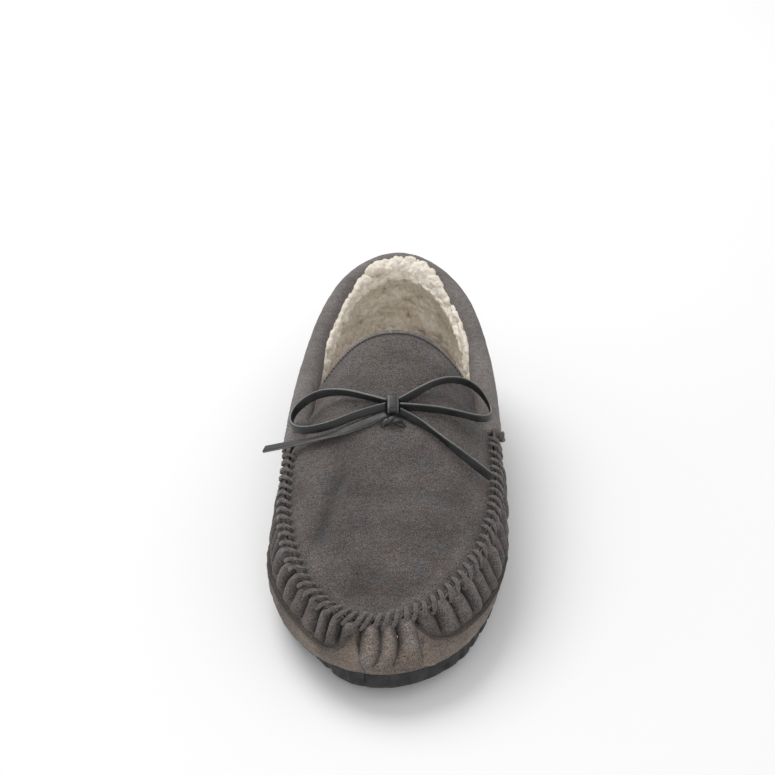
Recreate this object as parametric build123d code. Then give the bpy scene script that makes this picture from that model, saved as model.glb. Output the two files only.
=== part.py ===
"""Left moccasin slipper in suede, lined with pile, with a leather bow and a rubber sole.

Frame: millimetres, +Z up. The toe points to -Y, the heel to +Y, and the big-toe side is -X.
The sole stands on z = 0 and the origin is under the middle of the slipper.
"""
from build123d import *
import os
from math import pi
import numpy as np

# ---- Driving dimensions (mm) ----
ORIGIN_SHIFT = (-0.475, -3.296)  # moves the drawn slipper so that the origin is under its middle
SOLE_THICK = 11.0                # rubber unit sole at its side wall
TREAD_DEPTH = 3.0                # grooves in the underside
TREAD_PITCH = 10.5
GROOVE_WIDTH = 3.6
TREAD_CHEVRON = 7.0              # how far each groove's middle points to the toe
TOE_SPRING_START = -60.0         # the sole is flat from the heel to here
TOE_SPRING_RADIUS = 430.0        # and then curls up on this radius
BOARD_THICK = 1.8
FOAM_THICK = 5.0
FOOTBED_PILE_THICK = 5.0
FOOTBED_INSET = 9.6              # from the feather line to the footbed's edge
PILE_TOE_CUT = 6.0               # and this much more at the toe, where the wall leans in
SOLE_LIP = 1.5                   # the sole stands this far out of the feather line
SUEDE = 1.6
PILE = 5.0                       # quarter lining with its fleece
TOE_PILE = 4.2                   # thinner lining round the toes and under the instep
GAP = 0.3                        # air between neighbouring layers
COUNTER_THICK = 1.2
COLLAR_THICK = 1.3
RAND_THICK = 1.2
TONGUE_HINGE_Y = 22.0            # crease of the tongue, just behind the bow
TONGUE_TIP_Y = 43.0
SEAM_INSET = 2.0                 # from the top line to the apron's edge along the sewn seam
COLLAR_INSET = 11.0              # and where the apron tucks in between the two collar sides
LINING_INSET = 12.5
LACE_WIDTH = 4.2
LACE_THICK = 1.5
LACE_LIFT = 0.6                  # air under the bow's strands at the middle of the instep
LACE_EDGE_LIFT = 3.6             # and where they cross the collar or the seam
KNOT_X = (0.0, 5.4)              # the knot's two sides
KNOT_Y = -7.4
KNOT_HALF = (5.6, 3.1)           # along the foot and upward
THREAD = 1.1                     # thickness of the waxed seam thread
SEAM_STITCHES = 54
FINE_THREAD = 0.35               # radius of the machine-sewn thread
TONGUE_MIDDLE_X = 3.6
TONGUE_STITCH_HALF = 35.0        # half the width of the stitch row across the tongue
TONGUE_STITCH_INSET = 3.2
TONGUE_STITCH_BOW = 5.4          # how far the row's ends lie in front of its middle
TONGUE_STITCH_POINTS = 50
ANCHOR_X = (-2.6, 8.0)           # the two holes that the lace comes through
ANCHOR_Y = -16.0
ANCHOR_RISE = 2.4
ANCHOR_THICK = 2.6

# Places along the outline: 0 at the heel, rising past the big-toe side to 0.5 at the toe.
COLLAR_END_MEDIAL = 0.305
COLLAR_END_LATERAL = 0.752
SEAM_MEDIAL = 0.318
SEAM_LATERAL = 0.742
RAND_MEDIAL = (0.300, 0.456)
RAND_LATERAL = (0.566, 0.752)
RAND_RISE = (0.055, 0.27)        # shares of the wall's height that the rand covers
COUNTER_HALF = 0.105
HALF_GAP = 0.0012                # half the air between two neighbours along the outline


# Feather line, where the upper meets the sole. It starts at the heel and runs past the big-toe side.
FEATHER = [
    (7, 140), (-19, 127), (-31, 86), (-38, 32), (-49, -30), (-48, -92),
    (-10, -136), (33, -115), (52, -58), (50, 8), (45, 70), (37, 121)]
# Top line: the rim of the opening behind, and the hand-sewn seam round the toe in front.
TOP_LINE = [
    (8, 139, 76), (-22, 121, 72), (-38, 78, 63), (-46, 28, 56), (-50, -24, 48), (-46, -80, 39),
    (-14, -123, 34), (30, -104, 37), (52, -52, 44), (54, 4, 51), (51, 64, 60), (37, 114, 71.5)]
# Height of the instep's middle line, from the toe seam to the tip of the tongue.
RIDGE_Y = [-130, -100, -60, -20, 20, 45, 60]
RIDGE_Z = [33.5, 42, 55, 67, 79, 87, 90.5]
ARCH_POWER = 2.4                 # how squarely the instep falls off to its sides


# ---- Curves and surfaces as formulas ----
def closed_curve(points, s):
    """Smooth closed curve through the points, which are evenly spaced in s from 0 to 1."""
    p = np.array(points, float)
    n = len(p)
    matrix = 4 * np.eye(n) + np.roll(np.eye(n), 1, 0) + np.roll(np.eye(n), -1, 0)
    d = np.linalg.solve(matrix, 3 * (np.roll(p, -1, 0) - np.roll(p, 1, 0)))
    u = (np.asarray(s, float) % 1.0) * n
    i = np.floor(u).astype(int) % n
    j = (i + 1) % n
    t = (u - np.floor(u))[:, None]
    return (p[i] * (2 * t**3 - 3 * t**2 + 1) + d[i] * (t**3 - 2 * t**2 + t)
            + p[j] * (3 * t**2 - 2 * t**3) + d[j] * (t**3 - t**2))


def open_curve(knots, values, x):
    """Natural cubic spline through (knots, values), with straight ends beyond them."""
    k = np.array(knots, float)
    v = np.array(values, float)
    n = len(k)
    h = np.diff(k)
    matrix = np.eye(n)
    right = np.zeros(n)
    for i in range(1, n - 1):
        matrix[i, i - 1:i + 2] = (h[i - 1], 2 * (h[i - 1] + h[i]), h[i])
        right[i] = 6 * ((v[i + 1] - v[i]) / h[i] - (v[i] - v[i - 1]) / h[i - 1])
    m = np.linalg.solve(matrix, right)
    x = np.asarray(x, float)
    i = np.clip(np.searchsorted(k, x) - 1, 0, n - 2)
    a = np.clip(k[i + 1] - x, 0, h[i])
    b = np.clip(x - k[i], 0, h[i])
    y = (m[i] * a**3 + m[i + 1] * b**3) / (6 * h[i])
    y = y + (v[i] / h[i] - m[i] * h[i] / 6) * a + (v[i + 1] / h[i] - m[i + 1] * h[i] / 6) * b
    low_slope = (v[1] - v[0]) / h[0] - h[0] * m[1] / 6
    high_slope = (v[-1] - v[-2]) / h[-1] + h[-1] * m[-2] / 6
    return y + np.minimum(x - k[0], 0) * low_slope + np.maximum(x - k[-1], 0) * high_slope


def toe_spring(y):
    """Height of the sole's underside above the floor."""
    run = np.maximum(TOE_SPRING_START - np.asarray(y, float), 0)
    return TOE_SPRING_RADIUS - np.sqrt(TOE_SPRING_RADIUS**2 - run**2)


def outward(s):
    """Level unit normal of the feather line, pointing out of the slipper."""
    step = 1e-3
    d = closed_curve(FEATHER, np.asarray(s) + step) - closed_curve(FEATHER, np.asarray(s) - step)
    n = np.column_stack([d[:, 1], -d[:, 0], 0 * d[:, 0]])
    return n / np.linalg.norm(n, axis=1)[:, None]


def feather_point(s):
    b = closed_curve(FEATHER, s)
    return np.column_stack([b, SOLE_THICK + toe_spring(b[:, 1])])


def wall_point(s, t):
    """Outer face of the upper's side, from the feather line at t = 0 to the top line at t = 1."""
    low = feather_point(s)
    top = closed_curve(TOP_LINE, s)
    n = outward(s)
    rise = np.column_stack([0 * low[:, :2], top[:, 2] - low[:, 2]])
    p1 = low + n * 7.0 + rise * 0.30
    p2 = top + n * 6.0 - rise * 0.38
    return low * (1 - t)**3 + 3 * p1 * t * (1 - t)**2 + 3 * p2 * t * t * (1 - t) + top * t**3


def inward(s, t):
    """Direction through the wall's layers: up and in at the sole, down and in at the top."""
    d = -outward(s)
    d[:, 2] = 0.35 - 0.95 * t
    return d / np.linalg.norm(d, axis=1)[:, None]


def wall_grid(s_values, t_values, depth):
    """Grid of points on the wall, moved in by depth."""
    s = np.asarray(s_values, float)
    columns = [wall_point(s, t) + inward(s, t) * depth for t in t_values]
    return np.stack(columns, axis=1)


def smooth_step(x):
    x = np.clip(x, 0, 1)
    return x * x * (3 - 2 * x)


def rim(y, side):
    """Top line at a given y, as x and height, on the big-toe side (-1) or the little-toe side (1)."""
    s = np.linspace(0.03, 0.49, 240) if side < 0 else np.linspace(0.97, 0.51, 240)
    points = closed_curve(TOP_LINE, s)[::-1]
    held = np.maximum(y, -112.0)
    return np.interp(held, points[:, 1], points[:, 0]), np.interp(held, points[:, 1], points[:, 2])


def apron_inset(y, side):
    """Distance from the top line to the apron's edge."""
    start = -22.0 if side < 0 else -11.0
    return SEAM_INSET + (COLLAR_INSET - SEAM_INSET) * smooth_step((np.asarray(y, float) - start) / 14)


def apron_height(x, y):
    """Outer face of the instep: the apron and the tongue."""
    left, left_z = rim(y, -1)
    right, right_z = rim(y, 1)
    left = left + apron_inset(y, -1)
    right = right - apron_inset(y, 1)
    middle = (left + right) / 2
    u = (x - middle) / (right - middle)
    edge_z = np.where(u < 0, left_z, right_z) - 0.4 - 1.2 * smooth_step((y + 10) / 20)
    crest = open_curve(RIDGE_Y, RIDGE_Z, y)
    return crest - np.abs(u) ** ARCH_POWER * (crest - edge_z)


def lace_floor(x, y):
    """Surface that the bow lies on: just over the instep, and over the collar or seam at its sides."""
    left, left_z = rim(y, -1)
    right, right_z = rim(y, 1)
    middle = (left + right) / 2
    half = (right - left) / 2
    u = np.clip(np.abs(x - middle) / half, 0, 1)
    beyond = np.maximum(np.abs(x - middle) - half, 0)
    edge_z = np.where(x < middle, left_z, right_z) + LACE_EDGE_LIFT
    crest = open_curve(RIDGE_Y, RIDGE_Z, y) + LACE_LIFT
    return crest - u ** ARCH_POWER * (crest - edge_z) - 0.5 * beyond


# ---- Solids from point grids ----
def surface(grid):
    rows = [[tuple(map(float, point)) for point in row] for row in grid]
    return Face.make_surface_from_array_of_points(rows, tol=0.01, min_deg=3, max_deg=3)


def solid_between(outer, inner):
    """Closed solid between two faces that have the same layout of points."""
    face_a = surface(outer)
    face_b = surface(inner)
    sides = [Face.make_surface_from_curves(a, b) for a, b in zip(face_a.edges(), face_b.edges())]
    shell = Shell(Face.sew_faces([face_a, face_b, *sides])[0])
    solid = Solid(shell)
    return solid if solid.volume > 0 else -solid


def wall_solid(s_range, t_range, depth_range, rows=13, columns=6):
    s = np.linspace(*s_range, rows)
    t = np.linspace(*t_range, columns)
    return solid_between(wall_grid(s, t, depth_range[0]), wall_grid(s, t, depth_range[1]))


def height_slab(function, x_values, y_values, low, high):
    """Closed solid between low and high above a height function, measured square to it."""
    y, x = np.meshgrid(y_values, x_values, indexing="ij")
    step = 0.5
    z = function(x, y)
    slope_x = (function(x + step, y) - function(x - step, y)) / (2 * step)
    slope_y = (function(x, y + step) - function(x, y - step)) / (2 * step)
    normal = np.stack([-slope_x, -slope_y, np.ones_like(z)], axis=-1)
    normal /= np.linalg.norm(normal, axis=-1)[..., None]
    base = np.stack([x, y, z], axis=-1)
    return solid_between(base + normal * high, base + normal * low)


# ---- Sole ----
def sole_outline(offset, toe_cut=0.0):
    """Flat face inside the feather line moved out by offset, and moved back in at the toe."""
    s = np.arange(40) / 40
    line = closed_curve(FEATHER, s)
    move = offset - toe_cut * smooth_step((-90 - line[:, 1]) / 25)
    points = line + outward(s)[:, :2] * move[:, None]
    return make_face(Spline([tuple(map(float, p)) for p in points], periodic=True))


def sprung_line(z):
    """Edges of a line at height z above the sprung underside, from the heel to the toe."""
    heel, bend, toe = 170.0, TOE_SPRING_START, -160.0
    middle = (bend + toe) / 2
    ends = [(y, z + float(toe_spring(y))) for y in (bend, middle, toe)]
    return [Line((heel, z), ends[0]), ThreePointArc(*ends)]


def sprung_layer(outline, z0, z1):
    """The part of the outline's upright prism between two heights above the sprung underside."""
    low = sprung_line(z0)
    high = sprung_line(z1)
    sides = [Line(low[1] @ 1, high[1] @ 1), Line(low[0] @ 0, high[0] @ 0)]
    profile = Plane.YZ * make_face(Wire([*low, *high, *sides]))
    return extrude(outline, amount=60) & extrude(profile, amount=90, both=True)


def groove(y):
    """One chevron groove of the tread, as an upright prism that crosses the sole."""
    edge = 90.0
    front = [(-edge, y), (0, y - TREAD_CHEVRON), (edge, y)]
    back = [(x, v + GROOVE_WIDTH) for x, v in reversed(front)]
    return extrude(make_face(Polyline(*front, *back, close=True)), amount=60)


def outsole():
    outline = sole_outline(SOLE_LIP)
    body = sprung_layer(outline, 0, SOLE_THICK)
    tread = sprung_layer(sole_outline(SOLE_LIP + 5), -1, TREAD_DEPTH)
    for y in np.arange(-128, 140, TREAD_PITCH):
        body -= groove(float(y)) & tread
    return body


def footbed_layer(z0, thick, toe_cut=0.0):
    return sprung_layer(sole_outline(-FOOTBED_INSET, toe_cut), z0, z0 + thick)


# ---- Upper ----
def collar_profile(s, outer):
    """Section of the rolled collar at each s, from its outer foot over the top to its inner foot."""
    n = outward(s)
    top = wall_point(s, 1.0)
    up = np.array([0, 0, 1.0])
    outer_side = [wall_point(s, t) - top for t in (0.86, 0.895, 0.93)]
    gap = 2 * GAP + (COLLAR_THICK if outer else 0)
    roll = [(-1.5, 0.7), (-5.0, 0.9), (-8.1, -1.0), (-9.3, -4.0), (-8.8, -7.6)]
    inner_roll = [(-1.9, -0.6), (-4.9, -0.4), (-7.2, -1.8), (-8.0, -4.2), (-7.5, -7.4)]
    shoulder = (2.0, -1.3) if outer else (1.2, -2.2)
    points = [side + n * gap for side in outer_side]
    points += [n * a + up * b for a, b in [shoulder, *(roll if outer else inner_roll)]]
    return np.stack([top + p for p in points], axis=1)


def collar_binding():
    s = np.linspace(COLLAR_END_LATERAL - 1, COLLAR_END_MEDIAL, 27)
    return solid_between(collar_profile(s, True), collar_profile(s, False))


def collar_foam():
    s = np.linspace(COLLAR_END_LATERAL - 1 + HALF_GAP, COLLAR_END_MEDIAL - HALF_GAP, 27)
    n = outward(s)
    top = wall_point(s, 1.0)
    up = np.array([0, 0, 1.0])
    upper = [(0.3, -3.1), (-1.8, -1.4), (-4.4, -1.0), (-6.5, -2.3), (-7.1, -4.3)]
    lower = [(0.0, -3.6), (-1.6, -4.3), (-3.4, -5.1), (-5.2, -5.9), (-6.6, -5.8)]
    grids = [np.stack([top + n * a + up * b for a, b in line], axis=1) for line in (upper, lower)]
    return solid_between(*grids)


def apron_outline(inset_function, tip_y):
    """Flat face of the apron and the tongue together."""
    s = np.linspace(0.235, 0.796, 34)
    rim_points = closed_curve(TOP_LINE, s)
    inset = np.array([inset_function(y, -1 if k < 0.5 else 1) for k, y in zip(s, rim_points[:, 1])])
    points = rim_points[:, :2] - outward(s)[:, :2] * inset[:, None]
    points = [tuple(map(float, p)) for p in points]
    middle = ((points[0][0] + points[-1][0]) / 2, tip_y)
    return make_face(Wire([Spline(points), ThreePointArc(points[-1], middle, points[0])]))


def apron_layer(outline, depth, y_range):
    """Part of the instep between two depths under its outer face, inside the outline."""
    y = np.linspace(-134, 52, 22)
    x = np.linspace(-62, 66, 21)
    slab = height_slab(apron_height, x, y, -depth[1], -depth[0])
    length = y_range[1] - y_range[0]
    window = Pos(0, sum(y_range) / 2, 60) * Box(160, length, 160)
    pieces = (slab & (extrude(outline, amount=120) & window)).solids()
    return pieces.sort_by(SortBy.VOLUME)[-1]


def lining_inset(y, side):
    return LINING_INSET


# ---- Bow ----
# Plan points of the lace's four free stretches, from the knot outward. Heights follow lace_floor.
LEFT_LOOP = [(-0.3, -4.4), (-12, 0.5), (-24, 6.5), (-36, 11), (-45.5, 10), (-48.8, 3), (-46, -6),
             (-38, -12.6), (-27, -14.2), (-13, -10), (-0.3, -7.2)]
RIGHT_LOOP = [(5.7, -4.4), (14, 2), (25, 11.5), (36, 18), (45.5, 19.4), (51.4, 14), (52.4, 6),
              (47, -1.5), (36, -5), (21, -6.4), (5.7, -7.2)]
LEFT_TAIL = [(-0.3, -10.4), (-13, -16.5), (-27, -19.4), (-42, -16.5), (-61, -9)]
RIGHT_TAIL = [(5.7, -10.4), (15, -15.5), (25, -22.5), (35, -30.5), (50, -38.5)]


def corner_radii(points):
    """Largest arcs that the runs allow, one for each corner."""
    radii = []
    for before, corner, after in zip(points, points[1:], points[2:]):
        first = Vector(*corner) - Vector(*before)
        second = Vector(*after) - Vector(*corner)
        half_turn = first.get_angle(second) / 2 * pi / 180
        shorter = min(first.length, second.length)
        radii.append(0.45 * shorter / np.tan(half_turn))
    return [float(r) for r in radii]


def lace_strand(name, points, plan_width, height):
    """Flat strap that follows the plan points and lies on the bow's floor."""
    radii = corner_radii(points)
    print(name, "corner radii", [round(r, 1) for r in radii])
    path = FilletPolyline(*points, radius=radii)
    strip = extrude(trace(path, line_width=plan_width), amount=140)
    x = np.linspace(-66, 62, 27)
    y = np.linspace(-46, 30, 16)
    return strip & height_slab(lace_floor, x, y, 0, height)


def bow_knot():
    """Wrapped middle of the bow, an oval roll that lies across the strands."""
    length = KNOT_X[1] - KNOT_X[0]
    middle = sum(KNOT_X) / 2
    z = float(lace_floor(np.array([middle]), np.array([KNOT_Y]))[0]) + KNOT_HALF[1] + 0.2
    oval = Plane.YZ * Ellipse(*KNOT_HALF)
    slope = Rot(18.5, 0, 0)
    return Pos(KNOT_X[0], KNOT_Y, z) * slope * extrude(oval, amount=length)


def lace_anchor():
    """Short twist of lace in front of the knot, down through two holes of the apron."""
    ends = [ANCHOR_X[0], ANCHOR_X[1]]
    feet = [(x, ANCHOR_Y, apron_z(x, ANCHOR_Y) - SUEDE + 0.5) for x in ends]
    middle = sum(ends) / 2
    crown = (middle, ANCHOR_Y, apron_z(middle, ANCHOR_Y) + ANCHOR_RISE)
    return rod(ThreePointArc(feet[0], crown, feet[1]), ANCHOR_THICK / 2)


def anchor_holes():
    radius = ANCHOR_THICK / 2 + 1.0
    return Sketch() + [Pos(x, ANCHOR_Y) * Circle(radius) for x in ANCHOR_X]


# ---- Threads ----
def apron_z(x, y):
    return float(apron_height(np.array([x]), np.array([y]))[0])


def rod(path, radius):
    """Round rod along a path."""
    return sweep(Plane(origin=path @ 0, z_dir=path % 0) * Circle(radius), path=path)


def thread_between(points, radius=THREAD / 2):
    return rod(Line(*points) if len(points) == 2 else ThreePointArc(*points), radius)


def seam_stitches():
    """Slanting whip stitches that bind the apron to the gathered toe wall."""
    stitches = []
    pitch = (SEAM_LATERAL - SEAM_MEDIAL) / SEAM_STITCHES
    clear = THREAD / 2 + 0.2
    for k in range(SEAM_STITCHES):
        s = np.array([SEAM_MEDIAL + pitch * (k + 0.1), SEAM_MEDIAL + pitch * (k + 0.5)])
        outer = (wall_point(s, 0.90) + outward(s) * (clear + 0.3))[0]
        crown = (wall_point(s, 1.0) + outward(s) * 0.8 + np.array([0, 0, 1.5]))[1]
        inner = (wall_point(s, 1.0) - outward(s) * 4.4)[1]
        inner[2] = apron_z(inner[0], inner[1]) + 1.8 * clear
        stitches.append(thread_between([tuple(map(float, p)) for p in (outer, crown, inner)]))
    return Compound(children=[s.solid() for s in stitches])


def topstitches(points, radius):
    """Thread shown as a row of short stitches, one for every second gap between the points."""
    pairs = zip(points[0::2], points[1::2])
    stitches = [thread_between([tuple(map(float, p)) for p in pair], radius) for pair in pairs]
    return Compound(children=[s.solid() for s in stitches])


def height_on(solid, x, y):
    """Height of a solid's upper face at a plan point."""
    crossing = Line((x, y, 0), (x, y, 150)) & solid
    return max(vertex.Z for vertex in crossing.vertices())


def tongue_stitch_points(tongue):
    """Points just inside the tongue's free edge and just clear of its upper face."""
    across = np.linspace(-1, 1, TONGUE_STITCH_POINTS)
    x = TONGUE_MIDDLE_X + TONGUE_STITCH_HALF * across
    y = TONGUE_TIP_Y - TONGUE_STITCH_INSET - TONGUE_STITCH_BOW * across**2
    slope = (apron_height(x + 1, y) - apron_height(x - 1, y)) / 2
    lift = 2.4 * FINE_THREAD * np.sqrt(1 + slope**2)
    top = np.array([height_on(tongue, float(a), float(b)) for a, b in zip(x, y)])
    return np.column_stack([x, y, top + lift])


def wall_stitch_points(s_range, t, depth, count):
    s = np.linspace(*s_range, count)
    return wall_point(s, t) + inward(s, t) * depth


def heel_stitches():
    """Zigzag stitch down the seam at the back of the heel."""
    t = np.linspace(0.10, 0.80, 30)
    side = np.where(np.arange(30) % 2 == 0, 0.0045, -0.0045)
    points = [(wall_point(np.array([s]), v) + outward(np.array([s])) * 0.7)[0] for s, v in zip(side, t)]
    return topstitches(points, FINE_THREAD)


# ---- Everything ----
def upper_parts():
    last = 1 - HALF_GAP
    toe = (COLLAR_END_MEDIAL + HALF_GAP, COLLAR_END_LATERAL - HALF_GAP)
    medial = (HALF_GAP, COLLAR_END_MEDIAL - HALF_GAP)
    lateral = (COLLAR_END_LATERAL + HALF_GAP, last)
    counter_depth = SUEDE + GAP
    lining_depth = counter_depth + COUNTER_THICK + GAP
    toe_depth = SUEDE + GAP
    return {
        "toe_wall": wall_solid(toe, (0.012, 1.0), (0, SUEDE), rows=21),
        "toe_wall_lining": wall_solid(toe, (0.05, 0.90), (toe_depth, toe_depth + TOE_PILE), rows=21),
        "quarter_medial": wall_solid(medial, (0.012, 0.93), (0, SUEDE)),
        "quarter_lateral": wall_solid(lateral, (0.012, 0.93), (0, SUEDE)),
        "lining_medial": wall_solid(medial, (0.03, 0.93), (lining_depth, lining_depth + PILE)),
        "lining_lateral": wall_solid(lateral, (0.03, 0.93), (lining_depth, lining_depth + PILE)),
        "heel_counter": wall_solid(
            (-COUNTER_HALF, COUNTER_HALF), (0.05, 0.62), (counter_depth, counter_depth + COUNTER_THICK)),
        "rand_medial": wall_solid(RAND_MEDIAL, RAND_RISE, (-GAP - RAND_THICK, -GAP)),
        "rand_lateral": wall_solid(RAND_LATERAL, RAND_RISE, (-GAP - RAND_THICK, -GAP)),
        "collar_binding": collar_binding(),
        "collar_foam": collar_foam(),
    }


def apron_parts():
    outline = apron_outline(apron_inset, TONGUE_TIP_Y)
    lining_outline = apron_outline(lining_inset, TONGUE_TIP_Y - 2)
    front = (-140, TONGUE_HINGE_Y - GAP / 2)
    back = (TONGUE_HINGE_Y + GAP / 2, 60)
    lining_depth = (SUEDE + GAP, SUEDE + GAP + TOE_PILE)
    apron = apron_layer(outline, (0, SUEDE), front) - extrude(anchor_holes(), amount=120)
    return {
        "apron": apron,
        "apron_lining": apron_layer(lining_outline, lining_depth, front),
        "tongue": apron_layer(outline, (0, SUEDE), back),
        "tongue_lining": apron_layer(lining_outline, lining_depth, back),
    }


def bow_parts():
    left = Pos(-50 + KNOT_X[0] - GAP, 0, 60) * Box(100, 160, 160)
    right = Pos(50 + KNOT_X[1] + GAP, 0, 60) * Box(100, 160, 160)
    return {
        "bow_knot": bow_knot(),
        "lace_anchor": lace_anchor(),
        "bow_loop_left": left & lace_strand("left loop", LEFT_LOOP, LACE_THICK, LACE_WIDTH),
        "bow_loop_right": right & lace_strand("right loop", RIGHT_LOOP, LACE_THICK, LACE_WIDTH),
        "lace_tail_left": left & lace_strand("left tail", LEFT_TAIL, LACE_WIDTH, LACE_THICK),
        "lace_tail_right": right & lace_strand("right tail", RIGHT_TAIL, LACE_THICK, LACE_WIDTH),
    }


def sole_parts():
    pile_z = SOLE_THICK + BOARD_THICK + FOAM_THICK + 2 * GAP
    return {
        "outsole": outsole(),
        "insole_board": footbed_layer(SOLE_THICK, BOARD_THICK),
        "footbed_foam": footbed_layer(SOLE_THICK + BOARD_THICK + GAP, FOAM_THICK),
        "footbed_pile": footbed_layer(pile_z, FOOTBED_PILE_THICK, PILE_TOE_CUT),
    }


def thread_parts(tongue):
    rand_depth = -GAP - RAND_THICK - FINE_THREAD - 0.4
    return {
        "seam_thread": seam_stitches(),
        "tongue_thread": topstitches(tongue_stitch_points(tongue), FINE_THREAD),
        "rand_thread_medial": topstitches(
            wall_stitch_points(RAND_MEDIAL, 0.235, rand_depth, 72), FINE_THREAD),
        "rand_thread_lateral": topstitches(
            wall_stitch_points(RAND_LATERAL, 0.235, rand_depth, 84), FINE_THREAD),
        "heel_thread": heel_stitches(),
    }


def main():
    os.makedirs("parts", exist_ok=True)
    parts = {**sole_parts(), **upper_parts(), **apron_parts(), **bow_parts()}
    parts.update(thread_parts(parts["tongue"]))
    parts = {name: Pos(*ORIGIN_SHIFT, 0) * shape for name, shape in parts.items()}
    for name, shape in parts.items():
        export_step(shape, f"parts/{name}.step")
    soft = ("bow_loop", "lace_tail")
    boxes = [shape.bounding_box() for name, shape in parts.items() if not name.startswith(soft)]
    low = [min(b.min.X for b in boxes), min(b.min.Y for b in boxes), min(b.min.Z for b in boxes)]
    high = [max(b.max.X for b in boxes), max(b.max.Y for b in boxes), max(b.max.Z for b in boxes)]
    print("size", [round(b - a, 2) for a, b in zip(low, high)])
    print("middle", [round((a + b) / 2, 3) for a, b in zip(low, high)])


main()
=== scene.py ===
"""Looks of a left moccasin slipper: suede outside, pile inside, leather bow, rubber sole.

Lengths are in metres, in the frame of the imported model: toe to -Y, heel to +Y, big-toe side -X.
"""
import math
import bmesh
import bpy
import numpy as np
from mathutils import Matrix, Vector


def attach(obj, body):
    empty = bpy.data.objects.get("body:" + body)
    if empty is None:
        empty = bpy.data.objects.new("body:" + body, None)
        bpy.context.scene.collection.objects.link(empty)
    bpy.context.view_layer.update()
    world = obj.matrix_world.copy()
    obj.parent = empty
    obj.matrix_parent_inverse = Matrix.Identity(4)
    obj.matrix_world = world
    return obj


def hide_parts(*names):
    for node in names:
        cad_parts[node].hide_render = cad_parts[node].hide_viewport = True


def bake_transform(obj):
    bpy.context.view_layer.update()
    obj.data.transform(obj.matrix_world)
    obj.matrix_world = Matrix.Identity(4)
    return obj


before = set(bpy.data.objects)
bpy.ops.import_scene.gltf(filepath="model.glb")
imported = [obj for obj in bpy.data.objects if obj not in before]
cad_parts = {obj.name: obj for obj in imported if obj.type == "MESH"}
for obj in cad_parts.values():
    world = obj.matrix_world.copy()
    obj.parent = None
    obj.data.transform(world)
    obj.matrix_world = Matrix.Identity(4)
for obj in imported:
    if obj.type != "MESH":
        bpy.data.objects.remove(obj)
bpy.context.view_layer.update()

MM = 0.001
UP = np.array([0, 0, 1.0])

# ---- Sizes shared with the solid model ----
ORIGIN_SHIFT = MM * np.array([-0.475, -3.296])
SOLE_THICK = 11.0 * MM
TOE_SPRING_START = -60.0 * MM
TOE_SPRING_RADIUS = 430.0 * MM
FOOTBED_TOP = 23.4 * MM
SUEDE = 1.6 * MM
LACE_WIDTH = 4.2 * MM
LACE_THICK = 1.5 * MM
LACE_LIFT = 0.6 * MM
LACE_EDGE_LIFT = 3.6 * MM
LACE_SIDES = 24
TONGUE_HINGE_Y = 22.0 * MM
TONGUE_TIP_Y = 43.0 * MM
SEAM_STITCHES = 54

# Places along the outline: 0 at the heel, rising past the big-toe side to 0.5 at the toe.
COLLAR_END_MEDIAL = 0.305
COLLAR_END_LATERAL = 0.752
SEAM_MEDIAL = 0.318
SEAM_LATERAL = 0.742
OUTLINE_LENGTH = 620 * MM
WALL_HEIGHT = 38 * MM
JOIN_GAP = 0.0012
STITCH_PITCH = (SEAM_LATERAL - SEAM_MEDIAL) / SEAM_STITCHES

FEATHER = MM * np.array([
    (7, 140), (-19, 127), (-31, 86), (-38, 32), (-49, -30), (-48, -92),
    (-10, -136), (33, -115), (52, -58), (50, 8), (45, 70), (37, 121)])
TOP_LINE = MM * np.array([
    (8, 139, 76), (-22, 121, 72), (-38, 78, 63), (-46, 28, 56), (-50, -24, 48), (-46, -80, 39),
    (-14, -123, 34), (30, -104, 37), (52, -52, 44), (54, 4, 51), (51, 64, 60), (37, 114, 71.5)])
RIDGE_Y = MM * np.array([-130, -100, -60, -20, 20, 45, 60])
RIDGE_Z = MM * np.array([33.5, 42, 55, 67, 79, 87, 90.5])
ARCH_POWER = 2.4

# Plan points of the lace's four free stretches, from the knot outward.
LEFT_LOOP = MM * np.array([
    (-0.3, -4.4), (-12, 0.5), (-24, 6.5), (-36, 11), (-45.5, 10), (-48.8, 3), (-46, -6),
    (-38, -12.6), (-27, -14.2), (-13, -10), (-0.3, -7.2)])
RIGHT_LOOP = MM * np.array([
    (5.7, -4.4), (14, 2), (25, 11.5), (36, 18), (45.5, 19.4), (51.4, 14), (52.4, 6),
    (47, -1.5), (36, -5), (21, -6.4), (5.7, -7.2)])
LEFT_TAIL = MM * np.array([(-0.3, -10.4), (-13, -16.5), (-27, -19.4), (-42, -16.5), (-61, -9)])
RIGHT_TAIL = MM * np.array([(5.7, -10.4), (15, -15.5), (25, -22.5), (35, -30.5), (50, -38.5)])

# ---- Camera and light ----
VIEW_TARGET = (0.0, 60 * MM, 40 * MM)
VIEW_DISTANCE = 1.0
VIEW_ELEVATION = math.radians(33.5)
LENS = 87.8                      # millimetres, on a sensor 36 mm wide
LIGHT_TARGET = (0, 0, 40 * MM)
SKY_STRENGTH = 0.68


def moved(points):
    """Points drawn in plan, moved so that the origin is under the slipper's middle."""
    points = np.array(points, float)
    points[..., :2] += ORIGIN_SHIFT
    return points


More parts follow.
